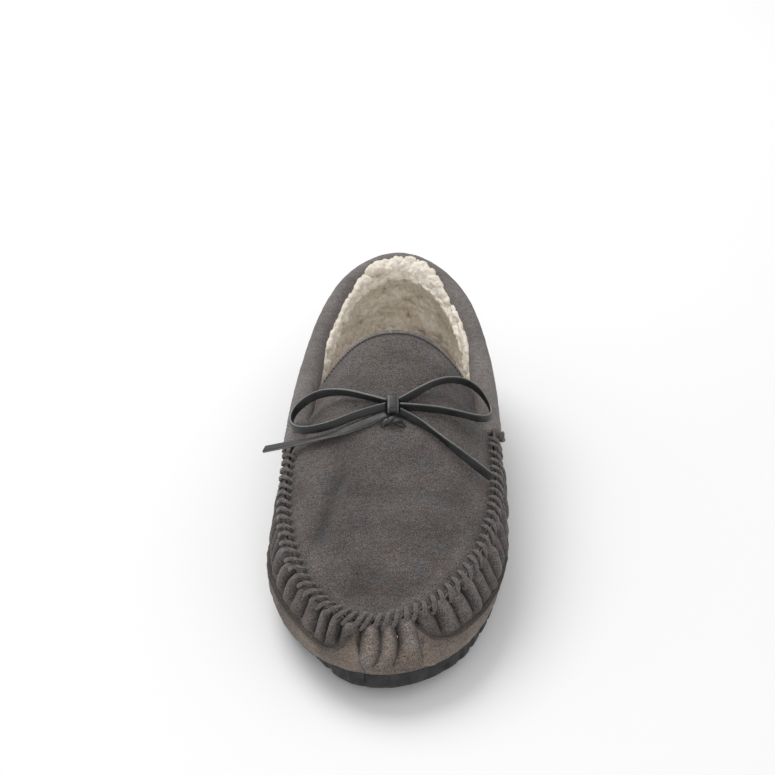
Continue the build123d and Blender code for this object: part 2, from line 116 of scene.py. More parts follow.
# ---- Curves and surfaces as formulas, in the frame they are drawn in ----
def closed_curve(points, s):
    """Smooth closed curve through the points, which are evenly spaced in s from 0 to 1."""
    n = len(points)
    matrix = 4 * np.eye(n) + np.roll(np.eye(n), 1, 0) + np.roll(np.eye(n), -1, 0)
    d = np.linalg.solve(matrix, 3 * (np.roll(points, -1, 0) - np.roll(points, 1, 0)))
    u = (np.asarray(s, float) % 1.0) * n
    i = np.floor(u).astype(int) % n
    j = (i + 1) % n
    t = (u - np.floor(u))[..., None]
    return (points[i] * (2 * t**3 - 3 * t**2 + 1) + d[i] * (t**3 - 2 * t**2 + t)
            + points[j] * (3 * t**2 - 2 * t**3) + d[j] * (t**3 - t**2))


def open_curve(knots, values, x):
    """Natural cubic spline through (knots, values), with straight ends beyond them."""
    n = len(knots)
    h = np.diff(knots)
    matrix = np.eye(n)
    right = np.zeros(n)
    for i in range(1, n - 1):
        matrix[i, i - 1:i + 2] = (h[i - 1], 2 * (h[i - 1] + h[i]), h[i])
        right[i] = 6 * ((values[i + 1] - values[i]) / h[i] - (values[i] - values[i - 1]) / h[i - 1])
    m = np.linalg.solve(matrix, right)
    x = np.asarray(x, float)
    i = np.clip(np.searchsorted(knots, x) - 1, 0, n - 2)
    a = np.clip(knots[i + 1] - x, 0, h[i])
    b = np.clip(x - knots[i], 0, h[i])
    y = (m[i] * a**3 + m[i + 1] * b**3) / (6 * h[i])
    y = y + (values[i] / h[i] - m[i] * h[i] / 6) * a + (values[i + 1] / h[i] - m[i + 1] * h[i] / 6) * b
    low_slope = (values[1] - values[0]) / h[0] - h[0] * m[1] / 6
    high_slope = (values[-1] - values[-2]) / h[-1] + h[-1] * m[-2] / 6
    return y + np.minimum(x - knots[0], 0) * low_slope + np.maximum(x - knots[-1], 0) * high_slope


def smooth_step(x, low=0.0, high=1.0):
    x = np.clip((np.asarray(x, float) - low) / (high - low), 0, 1)
    return x * x * (3 - 2 * x)


def toe_spring(y):
    """Height of the sole's underside above the floor."""
    run = np.maximum(TOE_SPRING_START - np.asarray(y, float), 0)
    return TOE_SPRING_RADIUS - np.sqrt(TOE_SPRING_RADIUS**2 - run**2)


def outward(s):
    """Level unit normal of the feather line, pointing out of the slipper."""
    step = 1e-3
    d = closed_curve(FEATHER, np.asarray(s) + step) - closed_curve(FEATHER, np.asarray(s) - step)
    n = np.stack([d[..., 1], -d[..., 0], 0 * d[..., 0]], axis=-1)
    return n / np.linalg.norm(n, axis=-1)[..., None]


def wall_point(s, t):
    """Outer face of the upper's side, from the feather line at t = 0 to the top line at t = 1."""
    low = closed_curve(FEATHER, s)
    low = np.concatenate([low, (SOLE_THICK + toe_spring(low[..., 1]))[..., None]], axis=-1)
    top = closed_curve(TOP_LINE, s)
    n = outward(s)
    rise = (top - low)[..., 2:] * UP
    p1 = low + n * 7.0 * MM + rise * 0.30
    p2 = top + n * 6.0 * MM - rise * 0.38
    t = np.asarray(t, float)[..., None]
    return low * (1 - t)**3 + 3 * p1 * t * (1 - t)**2 + 3 * p2 * t * t * (1 - t) + top * t**3


def inward(s, t):
    """Direction through the wall's layers: up and in at the sole, down and in at the top."""
    d = -outward(s)
    d[..., 2] = 0.35 - 0.95 * np.asarray(t, float)
    return d / np.linalg.norm(d, axis=-1)[..., None]


def rim(y, side):
    """Top line at a given y, as x and height, on the big-toe side (-1) or the little-toe side (1)."""
    s = np.linspace(0.03, 0.49, 240) if side < 0 else np.linspace(0.97, 0.51, 240)
    points = closed_curve(TOP_LINE, s)[::-1]
    held = np.maximum(y, -112.0 * MM)
    return np.interp(held, points[:, 1], points[:, 0]), np.interp(held, points[:, 1], points[:, 2])


def apron_inset(y, side):
    """Distance from the top line to the apron's edge, which is tucked under the collar's roll."""
    start = np.where(np.asarray(side) < 0, -13.0, -2.0) * MM
    under = 4.6 * MM * smooth_step((y - start) / (11 * MM))
    return 2.0 * MM + under + 3.1 * MM * smooth_step(y, 6 * MM, 20 * MM)


def apron_height(x, y):
    """Outer face of the instep: the apron and the tongue."""
    left, left_z = rim(y, -1)
    right, right_z = rim(y, 1)
    left = left + apron_inset(y, -1)
    right = right - apron_inset(y, 1)
    middle = (left + right) / 2
    u = (x - middle) / (right - middle)
    edge_z = np.where(u < 0, left_z, right_z) - 0.4 * MM - 1.2 * MM * smooth_step((y + 10 * MM) / (20 * MM))
    crest = open_curve(RIDGE_Y, RIDGE_Z, y)
    return crest - np.abs(u) ** ARCH_POWER * (crest - edge_z)


def lace_floor(x, y):
    """Surface that the bow lies on: just over the instep, and over the collar or seam at its sides."""
    left, left_z = rim(y, -1)
    right, right_z = rim(y, 1)
    middle = (left + right) / 2
    half = (right - left) / 2
    u = np.clip(np.abs(x - middle) / half, 0, 1)
    beyond = np.maximum(np.abs(x - middle) - half, 0)
    edge_z = np.where(x < middle, left_z, right_z) + LACE_EDGE_LIFT
    crest = open_curve(RIDGE_Y, RIDGE_Z, y) + LACE_LIFT
    return crest - u ** ARCH_POWER * (crest - edge_z) - 0.5 * beyond


def scattered(cell, shift=0.0):
    """A repeatable number from 0 to 1 for each whole-numbered cell."""
    h = np.sin(cell @ np.array([127.1, 311.7, 74.7]) + shift) * 43758.5453
    return h - np.floor(h)


def noise(points, size, seed):
    """Smooth value noise from -1 to 1 with lumps of the given size."""
    q = np.asarray(points, float) / size + seed * 17.31
    cell = np.floor(q).astype(np.int64)
    f = q - cell
    f = f * f * (3 - 2 * f)
    total = np.zeros(q.shape[:-1])
    for corner in np.ndindex(2, 2, 2):
        weight = np.prod(np.where(np.array(corner), f, 1 - f), axis=-1)
        total += weight * scattered(cell + corner)
    return 2 * total - 1


def jitter(count, seed):
    """Repeatable random numbers from -1 to 1."""
    return np.random.default_rng(seed).uniform(-1, 1, count)


# ---- Mesh helpers ----
EDGE_STEPS = 3                   # points round the cut edge of a sheet


def placed(name, data):
    """New object in the scene."""
    made = bpy.data.objects.new(name, data)
    bpy.context.scene.collection.objects.link(made)
    return made


def mesh_object(name, points, faces, material):
    mesh = bpy.data.meshes.new(name)
    mesh.from_pydata(np.asarray(points).reshape(-1, 3).tolist(), [], faces)
    mesh.validate()
    mesh.materials.append(material)
    return placed(name, mesh)


def tidy_mesh(made, merge=1e-6):
    """Merges doubled points, faces all normals outward and shades smooth."""
    work = bmesh.new()
    work.from_mesh(made.data)
    bmesh.ops.remove_doubles(work, verts=work.verts, dist=merge)
    bmesh.ops.recalc_face_normals(work, faces=work.faces)
    work.to_mesh(made.data)
    work.free()
    made.data.polygons.foreach_set("use_smooth", [True] * len(made.data.polygons))
    made.data.update()
    return made


def capped_faces(rows, columns, start=0):
    """Faces of a tube of closed loops, with one flat face over each end."""
    i, j = (a.ravel() for a in np.meshgrid(np.arange(rows - 1), np.arange(columns), indexing="ij"))
    j2 = (j + 1) % columns
    low = i * columns
    sides = np.stack([low + j, low + columns + j, low + columns + j2, low + j2], axis=1)
    first = list(range(start, start + columns))
    last = list(range(start + (rows - 1) * columns, start + rows * columns))[::-1]
    return (sides + start).tolist() + [first, last]


def loft(name, sections, material, shade_and_wear=None, tone=None, merge=1e-6):
    """Closed skin over sections, each a closed loop of points. Rows are sections."""
    made = mesh_object(name, moved(sections), capped_faces(*sections.shape[:2]), material)
    store(made, np.full(sections.shape[:2], 0.5) if shade_and_wear is None else shade_and_wear)
    if tone is not None:
        store(made, tone, "tone")
    return tidy_mesh(made, merge)


def grid_normals(grid):
    a = np.gradient(grid, axis=0)
    b = np.gradient(grid, axis=1)
    n = np.cross(a, b)
    return n / np.maximum(np.linalg.norm(n, axis=-1), 1e-12)[..., None]


def outer_normals(grid, s):
    """Unit normals of a grid on the upper's side, all pointing out of the slipper."""
    n = grid_normals(grid)
    return n * np.sign((n * outward(s)).sum(-1))[..., None]


def upper_normals(grid):
    """Unit normals of a grid on the instep, all pointing up."""
    n = grid_normals(grid)
    return n * np.sign(n[..., 2:])


def circle(count):
    """Angles spaced evenly round a circle."""
    return np.linspace(0, 2 * math.pi, count, endpoint=False)


def thick_sections(grid, direction, thickness):
    """Loops round a sheet: its outer face, a rounded edge, its inner face and the other edge."""
    inner = grid + direction * thickness
    angles = np.linspace(0, math.pi, EDGE_STEPS + 2)[1:-1]

    def edge(first, second, away):
        middle = (first + second) / 2
        half = (first - second) / 2
        size = np.maximum(np.linalg.norm(away, axis=-1), 1e-9)[:, None]
        away = away / size * thickness / 2
        return [middle + half * math.cos(a) + away * math.sin(a) for a in angles]

    high = edge(grid[:, -1], inner[:, -1], grid[:, -1] - grid[:, -2])
    low = edge(inner[:, 0], grid[:, 0], grid[:, 0] - grid[:, 1])
    return np.concatenate([grid, np.stack(high, 1), inner[:, ::-1], np.stack(low, 1)], axis=1)


def thick_shade_and_wear(shade_and_wear, edge_value):
    """Painted shade and wear values that go with thick_sections: the edges have one value, the back is like
    the front.
    """
    edge = np.full((len(shade_and_wear), EDGE_STEPS), edge_value)
    return np.concatenate([shade_and_wear, edge, shade_and_wear[:, ::-1], edge], axis=1)


def tube_sections(path, across, up, sides=10, squareness=2.0):
    """Loops of an oval or rounded-square section along a path. across and up hold half sizes."""
    angle = circle(sides)
    c = np.cos(angle)
    d = np.sin(angle)
    u = np.sign(c) * np.abs(c) ** (2 / squareness)
    v = np.sign(d) * np.abs(d) ** (2 / squareness)
    return path[:, None] + across[:, None] * u[None, :, None] + up[:, None] * v[None, :, None]


def arc_through(a, b, c, count):
    """Points on the smooth curve from a through b to c."""
    t = np.linspace(0, 1, count)[:, None]
    control = 2 * b - (a + c) / 2
    return a * (1 - t)**2 + 2 * control * t * (1 - t) + c * t**2


def frame_along(path, hint):
    """Unit vectors across and up at each point of a path, with up near the hint."""
    along = np.gradient(path, axis=0)
    along /= np.linalg.norm(along, axis=1)[:, None]
    across = np.cross(along, hint)
    across /= np.linalg.norm(across, axis=1)[:, None]
    return across, np.cross(across, along)


def joined(name, skins, material):
    """One mesh out of many tubes given as arrays of sections, all with capped ends."""
    faces = []
    start = 0
    for sections in skins:
        rows, columns = sections.shape[:2]
        faces += capped_faces(rows, columns, start)
        start += rows * columns
    points = np.concatenate([sections.reshape(-1, 3) for sections in skins])
    made = mesh_object(name, moved(points), faces, material)
    store(made, np.full(start, 0.5))
    return tidy_mesh(made, 1e-7)


def store(made, values, name="shade_and_wear"):
    """Keeps a number from 0 to 1 at each point of a mesh."""
    attribute = made.data.attributes.new(name, "FLOAT", "POINT")
    attribute.data.foreach_set("value", np.clip(values, 0, 1).astype(np.float32).ravel())


def part_of_slipper(made, nodes):
    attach(made, "slipper")
    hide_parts(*nodes)
    return made


# ---- Materials ----
class Paint:
    """A node material under construction: a principled shader with texture helpers."""

    def __init__(self, name, roughness, sheen=0.0, sheen_tint=(1, 1, 1), specular=0.25):
        self.material = bpy.data.materials.new(name)
        self.material.use_nodes = True
        self.nodes = self.material.node_tree.nodes
        self.links = self.material.node_tree.links
        self.shader = self.nodes["Principled BSDF"]
        sockets = {"Roughness": roughness, "Specular IOR Level": specular, "Sheen Weight": sheen,
                   "Sheen Roughness": 0.5, "Sheen Tint": (*sheen_tint, 1)}
        for socket, value in sockets.items():
            self.shader.inputs[socket].default_value = value
        self.place = self.node("TexCoord").outputs["Object"]

    def node(self, kind, **sockets):
        """New shader node with some of its sockets set."""
        made = self.nodes.new("ShaderNode" + kind)
        for socket, value in sockets.items():
            made.inputs[socket].default_value = value
        return made

    def texture(self, kind, size, stretch=(1, 1, 1), **sockets):
        """Texture node with features of the given size in metres."""
        mapping = self.node("Mapping", Scale=[1 / (size * v) for v in stretch])
        made = self.node(kind, Scale=1.0, **sockets)
        self.links.new(self.place, mapping.inputs["Vector"])
        self.links.new(mapping.outputs["Vector"], made.inputs["Vector"])
        return made

    def noise(self, size, detail=3.0, stretch=(1, 1, 1)):
        return self.texture("TexNoise", size, stretch, Detail=detail, Roughness=0.55).outputs["Fac"]

    def cells(self, size):
        """Distance to the nearest of scattered points, for pebbles and leather grain."""
        return self.texture("TexVoronoi", size).outputs["Distance"]

    def ramp(self, fac, stops):
        """Colour ramp through (position, colour) stops."""
        node = self.node("ValToRGB")
        elements = node.color_ramp.elements
        while len(elements) < len(stops):
            elements.new(0.5)
        for element, (position, colour) in zip(elements, stops):
            element.position = position
            element.color = (*colour, 1)
        self.links.new(fac, node.inputs["Fac"])
        return node.outputs["Color"]

    def mix(self, kind, amount, a, b):
        """Mixes two colours. amount is a number or an output."""
        node = self.node("Mix")
        node.data_type = "RGBA"
        node.blend_type = kind
        if isinstance(amount, float):
            node.inputs[0].default_value = amount
        else:
            self.links.new(amount, node.inputs[0])
        for socket, value in ((node.inputs[6], a), (node.inputs[7], b)):
            if isinstance(value, tuple):
                socket.default_value = (*value, 1)
            else:
                self.links.new(value, socket)
        return node.outputs[2]

    def fit(self, fac, low, high, to_low=0.0, to_high=1.0):
        """Straight-line change of a number from one range to another, held at the ends."""
        node = self.node("MapRange")
        for socket, value in zip(node.inputs[1:5], (low, high, to_low, to_high)):
            socket.default_value = value
        self.links.new(fac, node.inputs[0])
        return node.outputs[0]

    def stored(self, name):
        """A number kept at each point of the mesh."""
        node = self.node("Attribute")
        node.attribute_name = name
        return node.outputs["Fac"]

    def colour(self, output):
        self.links.new(output, self.shader.inputs["Base Color"])

    def roughness(self, fac, low, high):
        self.links.new(self.fit(fac, 0.3, 0.7, low, high), self.shader.inputs["Roughness"])

    def bump(self, layers):
        """Bumps from (height, strength, depth in metres) layers."""
        last = None
        for height, strength, depth in layers:
            node = self.node("Bump", Strength=strength, Distance=depth)
            self.links.new(height, node.inputs["Height"])
            if last is not None:
                self.links.new(last, node.inputs["Normal"])
            last = node.outputs["Normal"]
        self.links.new(last, self.shader.inputs["Normal"])


COOL_TINT = (0.078, 0.082, 0.092)
WARM_TINT = (0.105, 0.076, 0.074)
BROWN_GAIN = (2.15, 1.95, 1.72)


def greys(*stops):
    """Ramp stops from (position, grey) pairs."""
    return [(position, (grey, grey, grey)) for position, grey in stops]


def suede(name, dark, mid, light, blue=0.35, grain=0.66):
    """Brushed suede: soft blotches, a fine speckled nap, painted shade in hollows with painted highlight on
    ridges, paler cut edges and browner strips.
    """
    paint = Paint(name, 0.95, sheen=0.08, sheen_tint=(0.86, 0.84, 0.88))
    blotch = paint.noise(20 * MM, 4.0, stretch=(1.3, 1, 1))
    base = paint.ramp(blotch, [(0.28, dark), (0.50, mid), (0.74, light)])
    cool = paint.fit(paint.noise(8 * MM, 4.0), 0.50, 0.70, 0.0, blue)
    base = paint.mix("MIX", cool, base, COOL_TINT)
    warm = paint.fit(paint.noise(3 * MM, 3.0), 0.54, 0.72, 0.0, 0.30)
    base = paint.mix("MIX", warm, base, WARM_TINT)
    streak = paint.noise(1.6 * MM, 3.0, stretch=(3.2, 1, 1))
    base = paint.mix("OVERLAY", 0.30, base, paint.ramp(streak, greys((0.32, 0.28), (0.68, 0.74))))
    speck = paint.noise(0.58 * MM, 2.0)
    base = paint.mix("OVERLAY", grain, base, paint.ramp(speck, greys((0.36, 0.12), (0.64, 0.88))))
    # Painted shade in folds, creases and valleys and painted highlight on crests and swells, with paler cut
    # edges, from the number kept at each point.
    shade_and_wear = paint.ramp(paint.stored("shade_and_wear"), greys((0.0, 0.12), (0.5, 0.5), (1.0, 0.90)))
    base = paint.mix("OVERLAY", 0.9, base, shade_and_wear)
    base = paint.mix("MIX", paint.fit(paint.stored("tone"), 0.0, 1.0, 0.0, 0.55), base,
                     paint.mix("MULTIPLY", 1.0, base, BROWN_GAIN))
    paint.colour(base)
    paint.roughness(streak, 0.9, 1.0)
    paint.bump([(streak, 0.4, 0.5 * MM), (speck, 0.7, 0.3 * MM)])
    return paint.material


def pile_material(name, dark, mid, light):
    """Curly cream pile, with painted shade between its curls."""
    paint = Paint(name, 1.0, sheen=0.5, sheen_tint=(1.0, 0.94, 0.84))
    blotch = paint.noise(14 * MM, 3.0)
    base = paint.ramp(blotch, [(0.3, dark), (0.5, mid), (0.72, light)])
    curls = paint.noise(1.5 * MM, 3.0)
    base = paint.mix("OVERLAY", 0.45, base, paint.ramp(curls, greys((0.3, 0.28), (0.66, 0.72))))
    # Painted shade: brownish dark between the curls, none on their tops.
    curl_shade = paint.ramp(paint.stored("shade_and_wear"), [(0.0, (0.42, 0.36, 0.28)), (0.45, (1, 1, 1))])
    base = paint.mix("MULTIPLY", 0.9, base, curl_shade)
    paint.colour(base)
    paint.bump([(paint.noise(2.4 * MM, 2.0), 0.6, 1.2 * MM), (curls, 0.8, 0.7 * MM),
                (paint.noise(0.5 * MM, 2.0), 0.6, 0.3 * MM)])
    return paint.material


def leather_material():
    """Dark grey glazed thong with fine creases and paler cut edges."""
    paint = Paint("lace_leather", 0.5, specular=0.5)
    blotch = paint.noise(7 * MM, 4.0)
    base = paint.ramp(blotch, [(0.3, (0.010, 0.011, 0.012)), (0.7, (0.022, 0.023, 0.024))])
    edge = paint.fit(paint.stored("shade_and_wear"), 0.45, 1.0, 0.0, 1.0)
    rough_edge = paint.ramp(paint.noise(0.7 * MM), [(0.3, (0.09, 0.088, 0.086)), (0.7, (0.19, 0.185, 0.18))])
    paint.colour(paint.mix("MIX", edge, base, rough_edge))
    grain = paint.cells(0.55 * MM)
    paint.roughness(blotch, 0.38, 0.62)
    paint.bump([(grain, 0.25, 0.12 * MM), (paint.noise(1.4 * MM, 4.0), 0.4, 0.3 * MM)])
    return paint.material


def thread_material(name, dark, light, size):
    """Fibrous thread with light and dark strands."""
    paint = Paint(name, 0.85, sheen=0.3)
    base = paint.ramp(paint.noise(size, 3.0), [(0.32, dark), (0.68, light)])
    paint.colour(base)
    paint.bump([(paint.noise(size * 0.6, 3.0), 0.7, 0.2 * MM)])
    return paint.material


def rubber_material():
    """Matt black moulded rubber with fine pebbles and a little pale dust."""
    paint = Paint("sole_rubber", 0.6, specular=0.4)
    dust = paint.fit(paint.noise(5 * MM, 5.0), 0.5, 0.75, 0.0, 0.30)
    base = paint.ramp(paint.noise(10 * MM, 3.0), [(0.3, (0.013,) * 3), (0.7, (0.026, 0.025, 0.025))])
    paint.colour(paint.mix("MIX", dust, base, (0.075, 0.070, 0.066)))
    paint.roughness(paint.noise(3 * MM), 0.5, 0.72)
    paint.bump([(paint.cells(0.9 * MM), 0.35, 0.2 * MM), (paint.noise(4 * MM), 0.2, 0.4 * MM)])
    return paint.material


def board_material(name, dark, light):
    """Pressed fibreboard with short fibres."""
    paint = Paint(name, 0.9)
    fibres = paint.noise(0.8 * MM, 4.0, stretch=(1, 4, 1))
    paint.colour(paint.ramp(fibres, [(0.3, dark), (0.7, light)]))
    paint.bump([(fibres, 0.4, 0.2 * MM)])
    return paint.material


SUEDE_MAT = suede("suede", (0.056, 0.048, 0.045), (0.084, 0.073, 0.068), (0.112, 0.099, 0.092), blue=0.55)
COLLAR_MAT = suede("collar_suede", (0.118, 0.106, 0.100), (0.150, 0.136, 0.128), (0.178, 0.163, 0.155),
                   blue=0.12, grain=0.42)
RAND_MAT = suede("rand_suede", (0.062, 0.053, 0.048), (0.090, 0.078, 0.071), (0.118, 0.103, 0.094),
                 blue=0.30, grain=0.5)
SEAM_MAT = thread_material("seam_thread", (0.045, 0.040, 0.038), (0.150, 0.135, 0.129), 0.7 * MM)
FINE_MAT = thread_material("fine_thread", (0.030, 0.027, 0.026), (0.085, 0.078, 0.074), 0.5 * MM)
PILE_MAT = pile_material("pile", (0.64, 0.57, 0.47), (0.74, 0.675, 0.58), (0.83, 0.775, 0.69))
LACE_MAT = leather_material()
RUBBER_MAT = rubber_material()
BOARD_MAT = board_material("insole_board", (0.22, 0.17, 0.12), (0.36, 0.29, 0.21))
COUNTER_MAT = board_material("counter", (0.30, 0.27, 0.23), (0.48, 0.44, 0.38))


# ---- Stage, light and camera ----
def stage():
    corners = [(-6, -6, 0), (6, -6, 0), (6, 6, 0), (-6, 6, 0)]
    mesh_object("floor", corners, [(0, 1, 2, 3)], floor_paint())
    world = bpy.data.worlds.new("studio")
    bpy.context.scene.world = world
    world.use_nodes = True
    background = world.node_tree.nodes["Background"].inputs
    background["Color"].default_value = (1.0, 1.0, 1.0, 1)
    background["Strength"].default_value = SKY_STRENGTH


def floor_paint():
    paint = Paint("studio_floor", 0.9)
    paint.colour(paint.ramp(paint.noise(0.5, 2.0), greys((0.3, 0.805), (0.7, 0.82))))
    return paint.material


def look_from(made, place, target):
    """Puts a light or camera in its place, facing the target."""
    made.location = place
    made.rotation_euler = (Vector(target) - Vector(place)).to_track_quat("-Z", "Y").to_euler()


def area_light(name, place, size, power):
    data = bpy.data.lights.new(name, "AREA")
    data.shape = "DISK"
    data.size = size
    data.energy = power
    look_from(placed(name, data), place, LIGHT_TARGET)


def camera():
    target = moved([VIEW_TARGET])[0]
    back = np.array([0, -math.cos(VIEW_ELEVATION), math.sin(VIEW_ELEVATION)]) * VIEW_DISTANCE
    data = bpy.data.cameras.new("camera")
    data.lens = LENS
    data.sensor_width = 36
    data.clip_start = 0.01
    made = placed("camera", data)
    look_from(made, target + back, target)
    bpy.context.scene.camera = made


# ---- Bow ----
def spline_points(route):
    """Points along the smooth spline that has the route's points as its control points."""
    curve = bpy.data.curves.new("route", "CURVE")
    curve.dimensions = "3D"
    curve.resolution_u = 20
    spline = curve.splines.new("NURBS")
    spline.points.add(len(route) - 1)
    for point, place in zip(spline.points, route):
        point.co = (*place, 1)
    spline.order_u = 3
    spline.use_endpoint_u = True
    holder = placed("route", curve)
    mesh = bpy.data.meshes.new_from_object(holder)
    points = np.array([tuple(v.co) for v in mesh.vertices])
    bpy.data.objects.remove(holder)
    return points


def lace(name, plan, half_across, half_up, node, body):
    """One free stretch of the leather lace, along a route that lies on the instep."""
    floor = lace_floor(plan[:, 0], plan[:, 1])
    path = spline_points(np.column_stack([plan, floor + half_up]))
    across, _ = frame_along(path, UP)
    lean = 0.30 * np.sin(np.linspace(0, 2.2 * math.pi, len(path)) + len(name))[:, None]
    side = across * np.cos(lean) + UP * np.sin(lean)
    up = np.cross(side, np.gradient(path, axis=0))
    up /= np.linalg.norm(up, axis=1)[:, None]
    ripple = 1 + 0.06 * noise(path, 6 * MM, 5)[:, None]
    sections = tube_sections(path, side * half_across * ripple, up * half_up * ripple, LACE_SIDES, 5.0)
    angle = circle(LACE_SIDES)
    long_axis = np.abs(np.sin(angle)) if half_up > half_across else np.abs(np.cos(angle))
    shade_and_wear = np.tile(smooth_step(long_axis, 0.86, 0.99), (len(path), 1))
    made = loft(name, sections, LACE_MAT, shade_and_wear, merge=1e-8)
    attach(made, body)
    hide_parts(node)
    moved_path = moved(path)


def laces():
    thin = LACE_THICK / 2
    wide = LACE_WIDTH / 2
    lace("lace_loop_left", LEFT_LOOP, thin, wide, "bow_loop_left", "loop_left")
    lace("lace_loop_right", RIGHT_LOOP, thin, wide, "bow_loop_right", "loop_right")
    lace("lace_end_left", LEFT_TAIL, wide, thin, "lace_tail_left", "tail_left")
    lace("lace_end_right", RIGHT_TAIL, thin, wide, "lace_tail_right", "tail_right")


# ---- Knot and anchor ----
KNOT_X = MM * np.array([0.0, 5.4])
KNOT_Y = -7.4 * MM
KNOT_HALF = MM * np.array([5.6, 3.1])
KNOT_TILT = math.radians(18.5)
KNOT_SIDES = 36
ANCHOR_X = MM * np.array([-2.6, 8.0])
ANCHOR_Y = -16.0 * MM


def knot():
    """Lace wrapped once round the strands: a rounded band with a raised, paler cut edge."""
    middle = KNOT_X.mean()
    z = lace_floor(middle, KNOT_Y) + KNOT_HALF[1] + 0.2 * MM
    along = np.array([0.0, 0.08, 0.22, 0.5, 0.78, 0.92, 1.0])
    size = np.array([0.72, 0.93, 1.0, 0.97, 1.0, 0.93, 0.72])
    angle = circle(KNOT_SIDES)
    x = KNOT_X[0] + along * (KNOT_X[1] - KNOT_X[0])
    path = np.column_stack([x, 0 * x + KNOT_Y, 0 * x + z])
    y_axis = np.array([0, math.cos(KNOT_TILT), math.sin(KNOT_TILT)])
    z_axis = np.array([0, -math.sin(KNOT_TILT), math.cos(KNOT_TILT)])
    across = np.outer(size, y_axis) * KNOT_HALF[0]
    lift = np.outer(size, z_axis) * KNOT_HALF[1]
    sections = tube_sections(path, across, lift, KNOT_SIDES, 2.3)
    sections = sections + UP * 0.25 * MM * np.sin(3 * angle)[None, :, None]
    shade_and_wear = np.repeat(np.array([0.95, 0.9, 0.3, 0.2, 0.3, 0.8, 0.95])[:, None], KNOT_SIDES, 1)
    made = loft("knot", sections, LACE_MAT, shade_and_wear)
    part_of_slipper(made, ["bow_knot"])


def anchor():
    """Two turns of twisted lace that hold the bow down through the apron."""
    x = np.array([ANCHOR_X[0], ANCHOR_X.mean(), ANCHOR_X[1]])
    z = apron_height(x, ANCHOR_Y) + MM * np.array([-0.9, 3.4, -0.9])
    arc = arc_through(*np.column_stack([x, np.full(3, ANCHOR_Y), z]), 36)
    across, up = frame_along(arc, UP)
    turn = np.linspace(0, 3.4 * math.pi, 36)
    skins = []
    for start in (0, math.pi):
        swing = across * np.cos(turn + start)[:, None] + up * np.sin(turn + start)[:, None]
        path = arc + swing * 0.75 * MM
        side, lift = frame_along(path, UP)
        skins.append(tube_sections(path, side * 1.25 * MM, lift * 0.85 * MM, 12, 3.0))
    made = joined("anchor", skins, LACE_MAT)
    part_of_slipper(made, ["lace_anchor"])


# ---- Toe wall ----
GATHERS = 36
GATHER_START = 0.335
GATHER_END = 0.735
GATHER_DEPTH = 4.6 * MM

# Top edge of each low strip, as places (s, t) on the wall. It curls up to the seam at its tip.
LEFT_STRIP = [(0.30, 0.27), (0.36, 0.35), (0.41, 0.50), (0.45, 0.50), (0.475, 0.42), (0.49, 0.60),
              (0.50, 0.92)]
RIGHT_STRIP = [(0.752, 0.27), (0.68, 0.33), (0.62, 0.43), (0.57, 0.46), (0.555, 0.60), (0.545, 0.92)]
MIDDLE_START = 0.50
MIDDLE_END = 0.545


def in_middle(s):
    """True at the toe's middle, between the tips of the two low strips."""
    return (s > MIDDLE_START) & (s < MIDDLE_END)


def strip_top(s):
    """Wall place t of the low strip's top edge at each s, and 0 in the middle of the toe."""
    left = np.array(LEFT_STRIP)
    right = np.array(RIGHT_STRIP)[::-1]
    left_top = np.interp(s, left[:, 0], left[:, 1])
    right_top = np.interp(s, right[:, 0], right[:, 1])
    return np.where(in_middle(s), 0.0, np.where(s < (MIDDLE_START + MIDDLE_END) / 2, left_top, right_top))


def gather_places():
    """Places of the valleys between the gathers, with uneven widths."""
    widths = 1 + 0.34 * jitter(GATHERS, 11)
    middle = np.abs(np.linspace(-1, 1, GATHERS))
    widths *= 1.25 - 0.50 * middle**2
    edges = np.concatenate([[0], np.cumsum(widths)])
    return GATHER_START + (GATHER_END - GATHER_START) * edges / edges[-1]


def gather_relief(s, t):
    """Height of the gathers over the plain wall, and how near each point is to a crest."""
    edges = gather_places()
    side = np.sign(s - 0.5) * smooth_step(np.abs(s - 0.5), 0.01, 0.12)
    lean = -0.014 * (1 - t) * side + 0.016 * (1 - t) ** 2 * (1 - np.abs(side))
    wander = 0.0020 * noise(np.stack([s * 60, t * 2.6, 0 * s], -1), 1.0, 4)
    place = s + lean + wander
    k = np.clip(np.searchsorted(edges, place) - 1, 0, GATHERS - 1)
    w = np.clip((place - edges[k]) / (edges[k + 1] - edges[k]), 0, 1)
    crest = (1 - np.abs(2 * w - 1) ** 1.9) ** 0.85
    size = (0.85 + 0.30 * jitter(GATHERS, 5))[k] * (edges[k + 1] - edges[k]) / 0.0111
    middle = in_middle(s)
    foot = np.where(middle, 0.10 + 0.12 * jitter(GATHERS, 6)[k], strip_top(s) - 0.06)
    foot = np.minimum(foot, 0.60)
    rise = smooth_step((t - foot) / np.where(middle, 0.55, 0.24))
    tuck = 1 - smooth_step(t, 0.95, 1.01)
    inside = smooth_step(s, GATHER_START, 0.372) * (1 - smooth_step(s, 0.700, GATHER_END))
    strength = rise * tuck * (0.35 + 0.65 * inside) * np.clip(size, 0.45, 1.3)
    strength = strength * (0.75 + 0.25 * noise(np.stack([s * 90, t * 3, 0 * s], -1), 1.0, 9))
    within = (place > edges[0]) & (place < edges[-1])
    strength = np.where(within, strength, 0)
    puff = np.exp(-((t - 0.86) / 0.10) ** 2) * crest
    return GATHER_DEPTH * strength * (crest - 0.62) + 1.2 * MM * strength * puff, strength, crest


